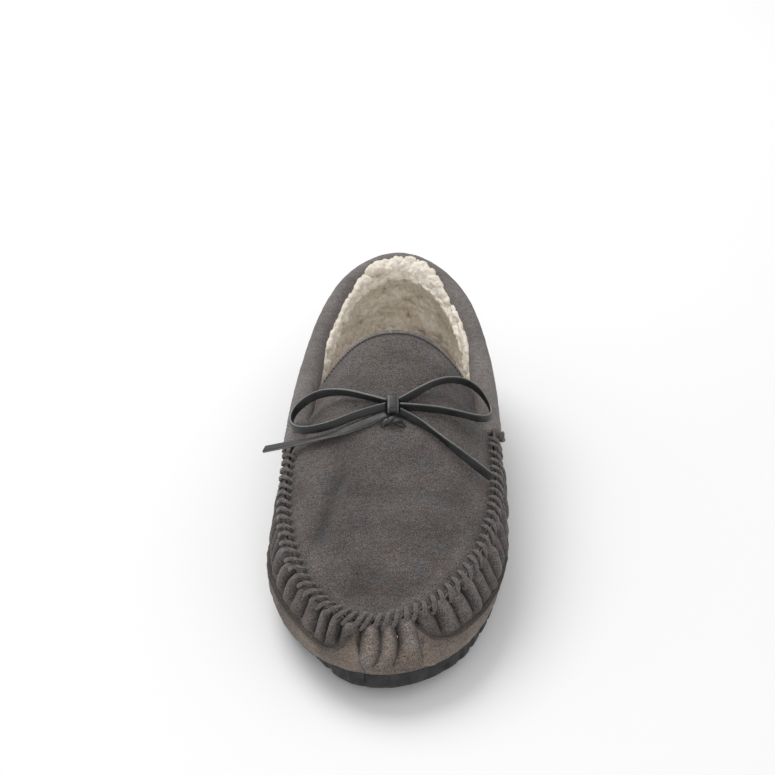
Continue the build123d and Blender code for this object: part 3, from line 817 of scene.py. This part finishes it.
def toe_wall():
    s = np.linspace(COLLAR_END_MEDIAL + 0.0001, COLLAR_END_LATERAL - 0.0001, 760)
    t = 0.004 + 0.996 * np.linspace(0, 1, 44) ** 0.9
    s, t = np.meshgrid(s, t, indexing="ij")
    relief, strength, crest = gather_relief(s, t)
    base = wall_point(s, t)
    soft = 0.45 * MM * noise(base, 11 * MM, 2) + 0.25 * MM * noise(base, 4 * MM, 3)
    flare = 1.7 * MM * (1 - smooth_step(t, 0.0, 0.16))
    normal = outer_normals(base, s)
    grid = base + normal * (relief + flare + soft * smooth_step(t, 0.02, 0.2))[..., None]
    # Painted shade in the valleys between the gathers and painted highlight on their crests, with a little
    # random mottle.
    shade_and_wear = 0.5 + strength * (0.95 * crest - 0.66) + 0.06 * noise(base, 5 * MM, 8)
    tone = smooth_step(s, MIDDLE_START - 0.003, MIDDLE_START + 0.004)
    tone = tone * (1 - smooth_step(s, MIDDLE_END - 0.004, MIDDLE_END + 0.003))
    tone = tone * (1.15 - 0.75 * smooth_step(t, 0.3, 0.9))
    sections = thick_sections(grid, inward(s, t), SUEDE)
    made = loft("toe_wall_gathered", sections, SUEDE_MAT, thick_shade_and_wear(shade_and_wear, 0.85), thick_shade_and_wear(tone, 0.0))
    part_of_slipper(made, ["toe_wall"])


# ---- Quarters ----
def quarter(name, node, s_range, seed):
    s = np.linspace(*s_range, 230)
    t = np.linspace(0.012, 0.93, 34)
    s, t = np.meshgrid(s, t, indexing="ij")
    base = wall_point(s, t)
    from_heel = np.minimum(s, 1 - s) * OUTLINE_LENGTH
    seam = -0.9 * np.exp(-(from_heel / (1.5 * MM)) ** 2)
    seam += 0.5 * np.exp(-((from_heel - 3 * MM) / (2 * MM)) ** 2)
    broad = 0.9 * noise(base * np.array([1, 1, 0.6]), 26 * MM, seed) + 0.35 * noise(base, 8 * MM, seed + 1)
    ripple = 0.35 * np.sin(s * 900 + 3 * noise(base, 20 * MM, seed + 2)) * smooth_step(t, 0.62, 0.86)
    normal = outer_normals(base, s)
    flare = 1.7 * (1 - smooth_step(t, 0.0, 0.16))
    shape = (seam + flare + (broad + ripple) * smooth_step(t, 0.0, 0.2)) * MM
    grid = base + normal * shape[..., None]
    # Painted light on the bulges, painted shade in the heel seam's groove and painted light on the ridge
    # beside it, and darker towards the sole.
    shade_and_wear = 0.5 + 0.10 * broad + 0.12 * seam - 0.12 * (1 - smooth_step(t, 0.0, 0.10))
    sections = thick_sections(grid, inward(s, t), SUEDE)
    made = loft(name, sections, SUEDE_MAT, thick_shade_and_wear(shade_and_wear, 0.8))
    part_of_slipper(made, [node])


# ---- Collar ----
def beside_tongue(s):
    """1 where the collar runs beside the tongue and under the bow, 0 round the open heel."""
    return smooth_step(s % 1, 0.175, 0.225) * (1 - smooth_step(s % 1, 0.816, 0.850))


def collar_controls(s):
    """Control points round the collar's section, from its outer foot over the roll and back inside."""
    n = outward(s)
    top = wall_point(s, 1.0)
    gap = MM * np.array([1.7, 1.8, 1.9])
    outer = [wall_point(s, t) + n * g for t, g in zip((0.855, 0.89, 0.93), gap)]
    roll = [(2.3, -1.5), (0.4, 0.8), (-2.2, 1.8), (-4.6, 1.2), (-6.6, -0.8), (-7.6, -4.0), (-7.2, -7.2)]
    under = [(-5.9, -7.4), (-4.6, -6.0), (-2.0, -5.0), (0.2, -4.6)]
    wide = (1 + 0.23 * beside_tongue(s))[:, None]
    middle = [top + (n * a * (wide if a < 0 else 1) + UP * b) * MM for a, b in roll + under]
    inner = [wall_point(s, t) + n * 0.5 * MM for t in (0.90, 0.855)]
    return np.stack(outer + middle + inner, axis=0)


def collar():
    rows = 420
    s = np.linspace(COLLAR_END_LATERAL - 1, COLLAR_END_MEDIAL, rows)
    controls = collar_controls(s)
    count = 56
    loop = closed_curve(controls.reshape(len(controls), -1), np.linspace(0, 1, count, endpoint=False))
    grid = loop.reshape(count, rows, 3).transpose(1, 0, 2)
    centre = grid.mean(axis=1, keepdims=True)
    away = grid - centre
    away /= np.linalg.norm(away, axis=-1)[..., None]
    folds = 0.22 * noise(grid, 16 * MM, 21) + 0.14 * noise(grid, 4 * MM, 22)
    pulls = 0.14 * np.sin(s * 1150 + 2.5 * noise(grid[:, 0], 30 * MM, 23))[:, None]
    pulls = pulls * smooth_step(noise(grid, 40 * MM, 24), -0.1, 0.4)
    grid = grid + away * ((folds + pulls) * MM)[..., None]
    edge = np.abs(np.linspace(-1, 1, rows)) > 0.996
    # Painted light on the bulges and painted shade in the dents of the folds and pulls; the cut ends paler.
    shade_and_wear = 0.5 + 0.16 * folds + 0.15 * pulls
    shade_and_wear = np.where(edge[:, None], 0.75, shade_and_wear)
    made = loft("collar", grid, COLLAR_MAT, shade_and_wear)
    part_of_slipper(made, ["collar_binding", "collar_foam"])


# ---- Pile ----
def curls(points, size, seed):
    """Round lumps packed over a surface: 1 at the top of a lump, 0 between lumps."""
    q = np.asarray(points) / size + seed * 7.7
    cell = np.floor(q).astype(np.int64)
    nearest = np.full(q.shape[:-1], 9.0)
    for step in np.ndindex(3, 3, 3):
        corner = cell + np.array(step) - 1
        shake = [scattered(corner, key) for key in (12.9898, 79.233, 39.719)]
        gap = q - corner - np.stack(shake, -1)
        nearest = np.minimum(nearest, (gap**2).sum(-1))
    return np.clip(1 - nearest / 0.75, 0, 1)


def fluff(points, seed):
    """Height in metres of a curly pile over its ground, and how near each point is to a curl's top."""
    warped = points + 0.9 * MM * np.stack([noise(points, 3 * MM, seed + i) for i in range(3)], -1)
    big = curls(warped, 4.6 * MM, seed)
    small = curls(warped, 2.1 * MM, seed + 3)
    height = 2.3 * MM * big**0.8 + 1.0 * MM * small
    return height, np.clip(0.65 * big + 0.45 * small, 0, 1)


def pile_shade(tops, low=0.08):
    """Painted shade of pile: dark between its curls, pale on their tops."""
    return low + 0.8 * tops


def pile_sheet(name, front, back, tops, low=0.08):
    """Pile with a lumpy front, painted shade between its curls, and a plain back."""
    shade_and_wear = pile_shade(np.concatenate([tops, tops[:, ::-1]], axis=1), low)
    return loft(name, np.concatenate([front, back[:, ::-1]], axis=1), PILE_MAT, shade_and_wear)


def lining_controls(s):
    """Control points round the lining's section: up its face, over its rim and down its back."""
    n = outward(s)
    top = wall_point(s, 1.0)
    faces = [wall_point(s, t) + inward(s, t) * 7.2 * MM for t in (0.04, 0.18, 0.32, 0.46, 0.60, 0.74)]
    rim_line = [(-9.6, -9.5), (-9.6, -6.2), (-8.8, -3.2), (-7.2, -2.4), (-6.0, -4.2), (-6.0, -8.4)]
    from_heel = np.minimum(s % 1, 1 - s % 1)
    heel = smooth_step(0.105 - from_heel, 0.0, 0.07)
    low = beside_tongue(s)
    raised = (n * 2.6 + UP * 3.4) * heel[:, None] * MM
    lowered = (n * 0.9 - UP * 6.0) * low[:, None] * MM
    share = (0.0, 0.05, 0.45, 1.0, 1.0, 1.0)
    inner_shift = n * (-1.6 * heel)[:, None] * MM
    pull_in = (1.0, 1.0, 0.8, 0.0, 0.0, 0.0)
    rim_points = [top + (n * a + UP * b) * MM + lowered + raised * w + inner_shift * v
                  for (a, b), w, v in zip(rim_line, share, pull_in)]
    back = [wall_point(s, t) + inward(s, t) * 4.0 * MM for t in (0.70, 0.45, 0.20, 0.04)]
    return np.stack(faces + rim_points + back, axis=0)


def lining():
    """Pile inside the quarters, up to a lumpy edge that swells over the collar's inner side."""
    rows = 330
    s = np.linspace(COLLAR_END_LATERAL - 1 + 0.002, COLLAR_END_MEDIAL - 0.002, rows)
    controls = lining_controls(s)
    total = len(controls)
    shown = np.linspace(0, 9.2 / total, 84)
    hidden = np.linspace(9.6 / total, 1, 10, endpoint=False)
    places = np.concatenate([shown, hidden])
    loop = closed_curve(controls.reshape(total, -1), places)
    grid = loop.reshape(len(places), rows, 3).transpose(1, 0, 2)
    normal = grid_normals(grid)
    inside = -np.sign((normal[:, 30] * outward(s)).sum(-1))[:, None, None]
    height, tops = fluff(grid, 31)
    depth = smooth_step(np.arange(len(places)), len(places) - 6, len(places) - 16)[None, :]
    folds = 1.1 * MM * np.sin(grid[..., 2] / (3.6 * MM) + 2 * noise(grid, 30 * MM, 33))
    folds = folds * smooth_step(np.minimum(s % 1, 1 - s % 1), 0.16, 0.04)[:, None]
    grid = grid + normal * inside * ((height - 1.6 * MM + 0.9 * folds) * depth)[..., None]
    # Painted shade between the curls.
    made = loft("pile_lining", grid, PILE_MAT, pile_shade(tops))
    part_of_slipper(made, ["lining_medial", "lining_lateral"])


def toe_lining():
    s = np.linspace(COLLAR_END_MEDIAL + 0.002, COLLAR_END_LATERAL - 0.002, 260)
    t = np.linspace(0.05, 0.80, 30)
    s, t = np.meshgrid(s, t, indexing="ij")
    height, tops = fluff(wall_point(s, t), 37)
    depth = 7.6 * MM + 0.7 * height
    back = wall_point(s, t) + inward(s, t) * 6.6 * MM
    front = wall_point(s, t) + inward(s, t) * depth[..., None]
    part_of_slipper(pile_sheet("pile_toe", front, back, tops), ["toe_wall_lining"])


def inner_outline(s, inset):
    """Feather line moved in, as plan points."""
    return closed_curve(FEATHER, s) - outward(s)[..., :2] * inset


def footbed():
    """Padded, pile-covered insole: dished under the heel and rounded down at its edge."""
    k = np.linspace(0.004, 0.496, 250)
    left = inner_outline(k, 8.8 * MM)
    right = inner_outline(1 - k, 8.8 * MM)
    u = np.sin(np.linspace(-1, 1, 90) * math.pi / 2)[None, :, None]
    plan = (left[:, None] * (1 - u) + right[:, None] * (1 + u)) / 2
    across = u[..., 0]
    dish = 1.6 * MM * across**2 - 1.4 * MM
    end = smooth_step(np.minimum(k, 0.5 - k), 0.0, 0.05)[:, None]
    edge = smooth_step(1 - np.abs(across), 0.0, 0.10) * (0.3 + 0.7 * end)
    top = FOOTBED_TOP + toe_spring(plan[..., 1]) + dish - 2.6 * MM * (1 - edge)
    ground = np.concatenate([plan, top[..., None]], axis=-1)
    height, tops = fluff(ground, 41)
    grid = ground + UP * (height - 1.2 * MM)[..., None]
    bottom = ground.copy()
    bottom[..., 2] = SOLE_THICK + 2.3 * MM + toe_spring(plan[..., 1])
    made = pile_sheet("pile_footbed", grid, bottom, tops, 0.05)
    part_of_slipper(made, ["footbed_pile", "footbed_foam"])


# ---- Outsole ----
TREAD_DEPTH = 3.0 * MM
TREAD_PITCH = 10.5 * MM
TREAD_CHEVRON = 7.0 * MM
TREAD_FRONT = -128 * MM
GROOVE_WIDTH = 3.6 * MM
SOLE_BLOCKS = 62

# The sole's side as (share of its height, millimetres outside the feather line).
SOLE_SIDE = [(0.0, -1.9), (0.05, -0.6), (0.22, 0.2), (0.40, 0.6), (0.62, 0.6), (0.80, 0.3), (1.0, -0.4)]


def sole_lugs(s, high):
    """Blocks that stand out of the sole's side: 1 on a block, 0 in the gaps between them."""
    place = s * SOLE_BLOCKS + 0.12 * noise(np.stack([s * 40, 0 * s, 0 * s], -1), 1.0, 77)
    w = np.abs((place % 1.0) * 2 - 1)
    return smooth_step(w, 0.75, 0.50) * smooth_step(high, 0.98, 0.70)


def sole_ring(s, high, beyond):
    """Points of the sole's side at a share of its height, beyond millimetres outside the feather line."""
    toe = smooth_step(-closed_curve(FEATHER, s)[..., 1], 60 * MM, 120 * MM)
    left = smooth_step(0.49 - s, 0.0, 0.04) * smooth_step(s, 0.30, 0.40)
    right = smooth_step(s, 0.58, 0.62) * (1 - smooth_step(s, 0.70, 0.78))
    under = (1 - high) * toe * (0.2 + 6.0 * left + 2.5 * right)
    bump = 1.1 * sole_lugs(s, high) * smooth_step(high, 0.0, 0.2)
    out = (beyond + bump - under + 0.4 * toe) * MM
    plan = closed_curve(FEATHER, s) + outward(s)[..., :2] * out[..., None]
    z = high * SOLE_THICK + toe_spring(plan[..., 1])
    return np.concatenate([plan, z[..., None]], axis=-1)


def tread(plan):
    """Depth of the chevron grooves, softened at their edges."""
    chevron = TREAD_CHEVRON * (1 - np.abs(plan[..., 0]) / (90 * MM))
    place = (plan[..., 1] - TREAD_FRONT + chevron) % TREAD_PITCH
    edge = 0.5 * MM
    groove = smooth_step(place, 0, edge) * (1 - smooth_step(place, GROOVE_WIDTH - edge, GROOVE_WIDTH))
    return smooth_step(plan[..., 1], -134 * MM, -130 * MM) * TREAD_DEPTH * groove


def outsole():
    k = np.linspace(0.0006, 0.4994, 470)
    left = np.stack([sole_ring(k, h + 0 * k, i + 0 * k) for h, i in SOLE_SIDE], axis=1)
    right = np.stack([sole_ring(1 - k, h + 0 * k, i + 0 * k) for h, i in SOLE_SIDE], axis=1)
    u = np.linspace(0, 1, 72)[1:-1][None, :, None]
    ground = left[:, :1] * (1 - u) + right[:, :1] * u
    plan = ground[..., :2]
    border = smooth_step(np.minimum(u, 1 - u)[..., 0], 0.0, 0.02)
    ground[..., 2] = toe_spring(plan[..., 1]) + tread(plan) * border
    ground[..., 2] += np.abs(0.12 * MM * noise(ground, 2.5 * MM, 78))
    top = left[:, -1:] * (1 - u[:, ::9]) + right[:, -1:] * u[:, ::9]
    loops = np.concatenate([left[:, ::-1], ground, right, top[:, ::-1]], axis=1)
    made = loft("rubber_sole", loops, RUBBER_MAT)
    part_of_slipper(made, ["outsole"])


# ---- Instep: apron and tongue in one skin ----
APRON_BACK_MEDIAL = 0.235
APRON_BACK_LATERAL = 0.796
APRON_TOE = 0.5155
LINING_EXTRA = 8.0 * MM
INSTEP_ROWS = 300
INSTEP_COLUMNS = 150
CREASE = MM * np.array([(-22, -40), (-34, -80)])


def apron_edge(s, extra=0.0):
    """Plan points of the apron's outline. Beside the collar it is tucked under the roll."""
    rim_points = closed_curve(TOP_LINE, s)
    side = np.where(s < APRON_TOE, -1.0, 1.0)
    inset = apron_inset(rim_points[..., 1], side) + extra
    return rim_points[..., :2] - outward(s)[..., :2] * inset[..., None]


def instep_plan(rows, columns, extra=0.0, tip=TONGUE_TIP_Y):
    """Plan points over the instep, from the toe to the tongue's arched end, and their place in it."""
    k = np.linspace(0, 1, rows) ** 0.9
    left_s = APRON_TOE + (APRON_BACK_MEDIAL - APRON_TOE) * k
    right_s = APRON_TOE + (APRON_BACK_LATERAL - APRON_TOE) * k
    left = apron_edge(left_s, extra)
    right = apron_edge(right_s + 1e-9, extra)
    u = np.linspace(-1, 1, columns)[None, :, None]
    plan = (left[:, None] * (1 - u) + right[:, None] * (1 + u)) / 2
    bow = tip - (left[-1, 1] + right[-1, 1]) / 2
    plan[..., 1] += bow * (1 - u[..., 0] ** 2) * smooth_step(k, 0.72, 1.0)[:, None]
    return plan, left_s, right_s, u[..., 0], k


def on_instep(plan):
    """Plan points lifted onto the instep's outer face."""
    return np.concatenate([plan, apron_height(plan[..., 0], plan[..., 1])[..., None]], axis=-1)


def crease_depth(plan):
    """Soft diagonal fold on the big-toe side of the apron."""
    a, b = CREASE
    along = (plan - a) @ (b - a) / ((b - a) @ (b - a))
    across = np.linalg.norm(plan - a - np.clip(along, 0, 1)[..., None] * (b - a), axis=-1)
    ends = smooth_step(along, -0.3, 0.3) * (1 - smooth_step(along, 0.7, 1.3))
    return 2.0 * MM * ends * np.exp(-(across / (4 * MM)) ** 2)


def instep_swell(base):
    """Height of the gentle waves in the instep's suede."""
    return MM * (0.7 * noise(base, 30 * MM, 51) + 0.25 * noise(base, 9 * MM, 52))


def instep_skin():
    plan, left_s, right_s, u, k = instep_plan(INSTEP_ROWS, INSTEP_COLUMNS)
    base = on_instep(plan)
    width = np.linalg.norm(plan[:, -1] - plan[:, 0], axis=-1)[:, None]
    from_edge = (1 - np.abs(u)) * width / 2
    from_end = (1 - k)[:, None] * 0.17
    s = np.where(u < 0, left_s[:, None], right_s[:, None])
    pull = 0.5 + 0.5 * np.cos(2 * math.pi * (s - SEAM_MEDIAL) / STITCH_PITCH)
    seamed = (s > SEAM_MEDIAL) & (s < SEAM_LATERAL)
    pucker = np.where(seamed, np.exp(-(from_edge / (3.2 * MM)) ** 2), 0)
    roll = np.where(seamed, np.exp(-((from_edge - 6 * MM) / (4 * MM)) ** 2), 0)
    soft = instep_swell(base) / MM + 0.10 * noise(base, 3 * MM, 53)
    lift = soft * MM + 0.5 * MM * roll - MM * pucker * (0.25 + 0.75 * pull) - crease_depth(plan)
    grid = base + UP * (lift * smooth_step(from_end, 0.0, 0.004))[..., None]
    normal = upper_normals(grid)
    # Painted light on the swells and the roll beside the seam, painted shade in the puckers and the crease.
    shade_and_wear = 0.5 + 0.10 * soft - 0.20 * pucker * pull + 0.10 * roll - 130 * crease_depth(plan)
    # Painted light: lighter over the tongue.
    shade_and_wear += 0.10 * smooth_step(plan[..., 1], TONGUE_HINGE_Y - 15 * MM, TONGUE_HINGE_Y + 20 * MM)
    shade_and_wear = np.where(from_edge < 0.9 * MM, 0.85, shade_and_wear)
    shade_and_wear[-4:] = 1.0
    sections = thick_sections(grid, -normal, SUEDE)
    made = loft("instep_suede", sections, SUEDE_MAT, thick_shade_and_wear(shade_and_wear, 0.95))
    finish_instep(made, ["apron", "tongue"])


def instep_pile():
    base = on_instep(instep_plan(150, 90, extra=LINING_EXTRA, tip=TONGUE_TIP_Y - 2 * MM)[0])
    normal = upper_normals(base)
    height, tops = fluff(base, 57)
    back = base - normal * (SUEDE + 0.5 * MM)
    front = base - normal * (SUEDE + 2.6 * MM + height)[..., None]
    finish_instep(pile_sheet("instep_pile", front, back, tops), ["apron_lining", "tongue_lining"])


def finish_instep(made, nodes):
    """Hides the solid's instep parts and bakes the mesh's placement into its points."""
    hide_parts(*nodes)
    near = moved([(0, TONGUE_HINGE_Y - 7 * MM, 80 * MM)])[0]
    far = moved([(0, TONGUE_HINGE_Y + 9 * MM, 80 * MM)])[0]
    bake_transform(made)


# ---- Threads ----
def rope(path, radius, twist, sides=12, taper=0.25):
    """Sections of a two-ply thread along a path, thinner at its ends."""
    across, up = frame_along(path, np.array([0.01, 0.02, 1.0]))
    angle = circle(sides)
    along = np.linspace(0, 1, len(path))
    thick = radius * (1 - taper * np.abs(2 * along - 1) ** 3)
    lobes = 1 + 0.20 * np.cos(2 * (angle[None] - twist * along[:, None]))
    ring = across[:, None] * np.cos(angle)[None, :, None] + up[:, None] * np.sin(angle)[None, :, None]
    return path[:, None] + ring * (thick[:, None] * lobes)[..., None]


def seam_stitches():
    """Slanting whip stitches over the apron's edge, each a little different, like a laid rope."""
    skins = []
    for k, (a, b, c, d) in enumerate(jitter((SEAM_STITCHES, 4), 71)):
        s = np.array([SEAM_MEDIAL + STITCH_PITCH * (k - 0.15 + 0.10 * a),
                      SEAM_MEDIAL + STITCH_PITCH * (k + 0.85 + 0.10 * b)])
        n = outward(s)
        outer = wall_point(s, 0.93)[0] + n[0] * (1.3 + 0.3 * c) * MM
        crown = wall_point(s, 1.0).mean(0) + n[0] * 0.2 * MM + UP * (1.7 + 0.3 * d) * MM
        inner = wall_point(s, 1.0)[1] - n[1] * (4.3 + 0.4 * b) * MM
        inner[2] = apron_height(inner[0], inner[1]) + 0.3 * MM
        end = inner - n[1] * 0.7 * MM - UP * 1.5 * MM
        start = outer - n[0] * 1.4 * MM - UP * 0.5 * MM
        path = np.concatenate([[start], arc_through(outer, crown, inner, 14), [end]])
        for ply in (-1, 1):
            along = np.linspace(-1, 1, len(path))[:, None]
            side = (wall_point(s[1:], 1.0) - wall_point(s[:1], 1.0))[0]
            side = side / np.linalg.norm(side)
            spread = side * 0.48 * MM * ply * (1 - 0.5 * along**2)
            skins.append(rope(path + spread, (0.62 + 0.05 * a) * MM, 9.0))
    skins.append(seam_end(SEAM_LATERAL))
    made = joined("moccasin_seam", skins, SEAM_MAT)
    part_of_slipper(made, ["seam_thread"])


def seam_end(s):
    """Doubled thread in a small bulge where the seam stops."""
    s = np.array([s + 0.004])
    centre = wall_point(s, 0.965)[0] + outward(s)[0] * 2.6 * MM
    turn = np.linspace(0, 3.6 * math.pi, 46)
    n = outward(s)[0]
    side = np.cross(n, UP)
    path = centre + np.outer(np.cos(turn), side) * 1.7 * MM + np.outer(np.sin(turn), UP) * 2.0 * MM
    path = path + np.outer(np.linspace(-1, 1, 46), n) * 0.9 * MM
    across, up = frame_along(path, n)
    return tube_sections(path, across * 0.95 * MM, up * 0.95 * MM)


def dashes(name, points, slot_node, radius=0.42 * MM):
    """Sewn thread that shows as a row of short stitches sunk at both ends."""
    skins = []
    for a, b, lift in points:
        middle = (a + b) / 2 + lift * 0.35 * MM
        path = arc_through(a - lift * 0.35 * MM, middle, b - lift * 0.35 * MM, 7)
        skins.append(rope(path, radius, 5.0, 8))
    made = joined(name, skins, FINE_MAT)
    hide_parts(slot_node)
    return made


def tongue_thread():
    """Row of short stitches just inside the tongue's free edge."""
    u = np.linspace(-0.92, 0.92, 62)
    row = instep_plan(INSTEP_ROWS, INSTEP_COLUMNS)[0][-6]
    places = np.linspace(-1, 1, INSTEP_COLUMNS)
    x = np.interp(u, places, row[:, 0])
    y = np.interp(u, places, row[:, 1])
    base = np.column_stack([x, y, apron_height(x, y)])
    base[:, 2] += instep_swell(base) + 0.25 * MM
    rows = [(base[i], base[i] + 0.55 * (base[i + 1] - base[i]), UP) for i in range(len(u) - 1)]
    made = dashes("tongue_stitches", rows, "tongue_thread", 0.36 * MM)
    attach(made, "tongue_flap")


# ---- Low strips, also called rands ----
def rand(name, node, line, count, seed):
    """Low strip of suede round the side. Its top edge follows (s, t) places and curls up at its tip."""
    line = np.array(line)
    steps = np.diff(line, axis=0) * (OUTLINE_LENGTH / MM, WALL_HEIGHT / MM)
    knots = np.concatenate([[0], np.cumsum(np.hypot(steps[:, 0], steps[:, 1]))])
    place = np.linspace(0, knots[-1], count)
    s = np.interp(place, knots, line[:, 0])[:, None]
    top = np.interp(place, knots, line[:, 1])
    top = np.convolve(np.pad(top, 7, mode="edge"), np.full(15, 1 / 15), mode="valid")[:, None]
    v = np.linspace(0, 1, 26)[None]
    t = 0.004 + v * (top - 0.004)
    s = s + 0 * v
    base = wall_point(s, t)
    normal = outer_normals(base, s)
    relief = np.maximum(gather_relief(s, t)[0], 0) * 0.5
    flare = 1.2 * (1 - smooth_step(t, 0.0, 0.16))
    tip = smooth_step(knots[-1] - place, 0.0, 14.0)[:, None]
    body = 0.9 + 0.5 * (1 - (2 * v - 1) ** 2)
    body = body + 0.3 * noise(base, 7 * MM, seed) + 0.2 * noise(base, 3 * MM, seed)
    lift = relief + (flare + body * (0.25 + 0.75 * tip)) * MM
    outer = base + normal * lift[..., None]
    shade_and_wear = 0.5 + 0.15 * noise(base, 6 * MM, seed + 1)
    # Darker along the top edge, and painted light along the bottom edge.
    shade_and_wear = shade_and_wear - 0.45 * smooth_step(v, 0.88, 0.97) + 0.25 * smooth_step(v, 0.06, 0.0)
    tone = 0.25 + 0.90 * smooth_step(place / knots[-1], 0.35, 0.85)[:, None] + 0 * v
    sections = thick_sections(outer, -normal, 1.3 * MM)
    made = loft(name, sections, RAND_MAT, thick_shade_and_wear(shade_and_wear, 0.1), thick_shade_and_wear(tone, 0.2))
    part_of_slipper(made, [node])
    return outer, normal


def rands():
    medial = rand("rand_left", "rand_medial", LEFT_STRIP, 210, 81)
    lateral = rand("rand_right", "rand_lateral", RIGHT_STRIP, 240, 91)
    for name, node, (outer, normal) in (("rand_stitches_left", "rand_thread_medial", medial),
                                        ("rand_stitches_right", "rand_thread_lateral", lateral)):
        line = outer[:, -3] + normal[:, -3] * 0.15 * MM
        rows = [(line[i], line[i] + 0.7 * (line[i + 1] - line[i]), normal[i, -3])
                for i in range(2, len(line) - 3)]
        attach(dashes(name, rows, node, 0.30 * MM), "slipper")


def heel_thread():
    """Zigzag stitches over the seam at the back of the heel."""
    t = np.linspace(0.08, 0.84, 42)
    rows = []
    for i in range(41):
        s = np.array([0.0040, -0.0040]) * (1 if i % 2 else -1)
        ends = wall_point(s, t[i:i + 2]) + outward(s) * 0.6 * MM
        rows.append((*ends, outward(np.array([0.0]))[0]))
    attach(dashes("heel_stitches", rows, "heel_thread", 0.40 * MM), "slipper")


# ---- Everything ----
def repaint_nodes():
    """Parts that keep their solid's shape get their own material."""
    for node, material in (("insole_board", BOARD_MAT), ("heel_counter", COUNTER_MAT)):
        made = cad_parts[node]
        for slot in made.material_slots:
            slot.material = material


stage()
camera()
bpy.context.scene.view_settings.view_transform = "Standard"
area_light("key", (-0.6, 0.85, 1.4), size=1.2, power=19)
area_light("front", (0.2, -1.6, 1.1), size=1.0, power=8)
laces()
outsole()
knot()
anchor()
toe_wall()
quarter("quarter_left", "quarter_medial", (0.0003, COLLAR_END_MEDIAL - JOIN_GAP), 61)
quarter("quarter_right", "quarter_lateral", (COLLAR_END_LATERAL + JOIN_GAP, 0.9997), 66)
collar()
lining()
toe_lining()
footbed()
instep_skin()
instep_pile()
seam_stitches()
tongue_thread()
rands()
heel_thread()
repaint_nodes()
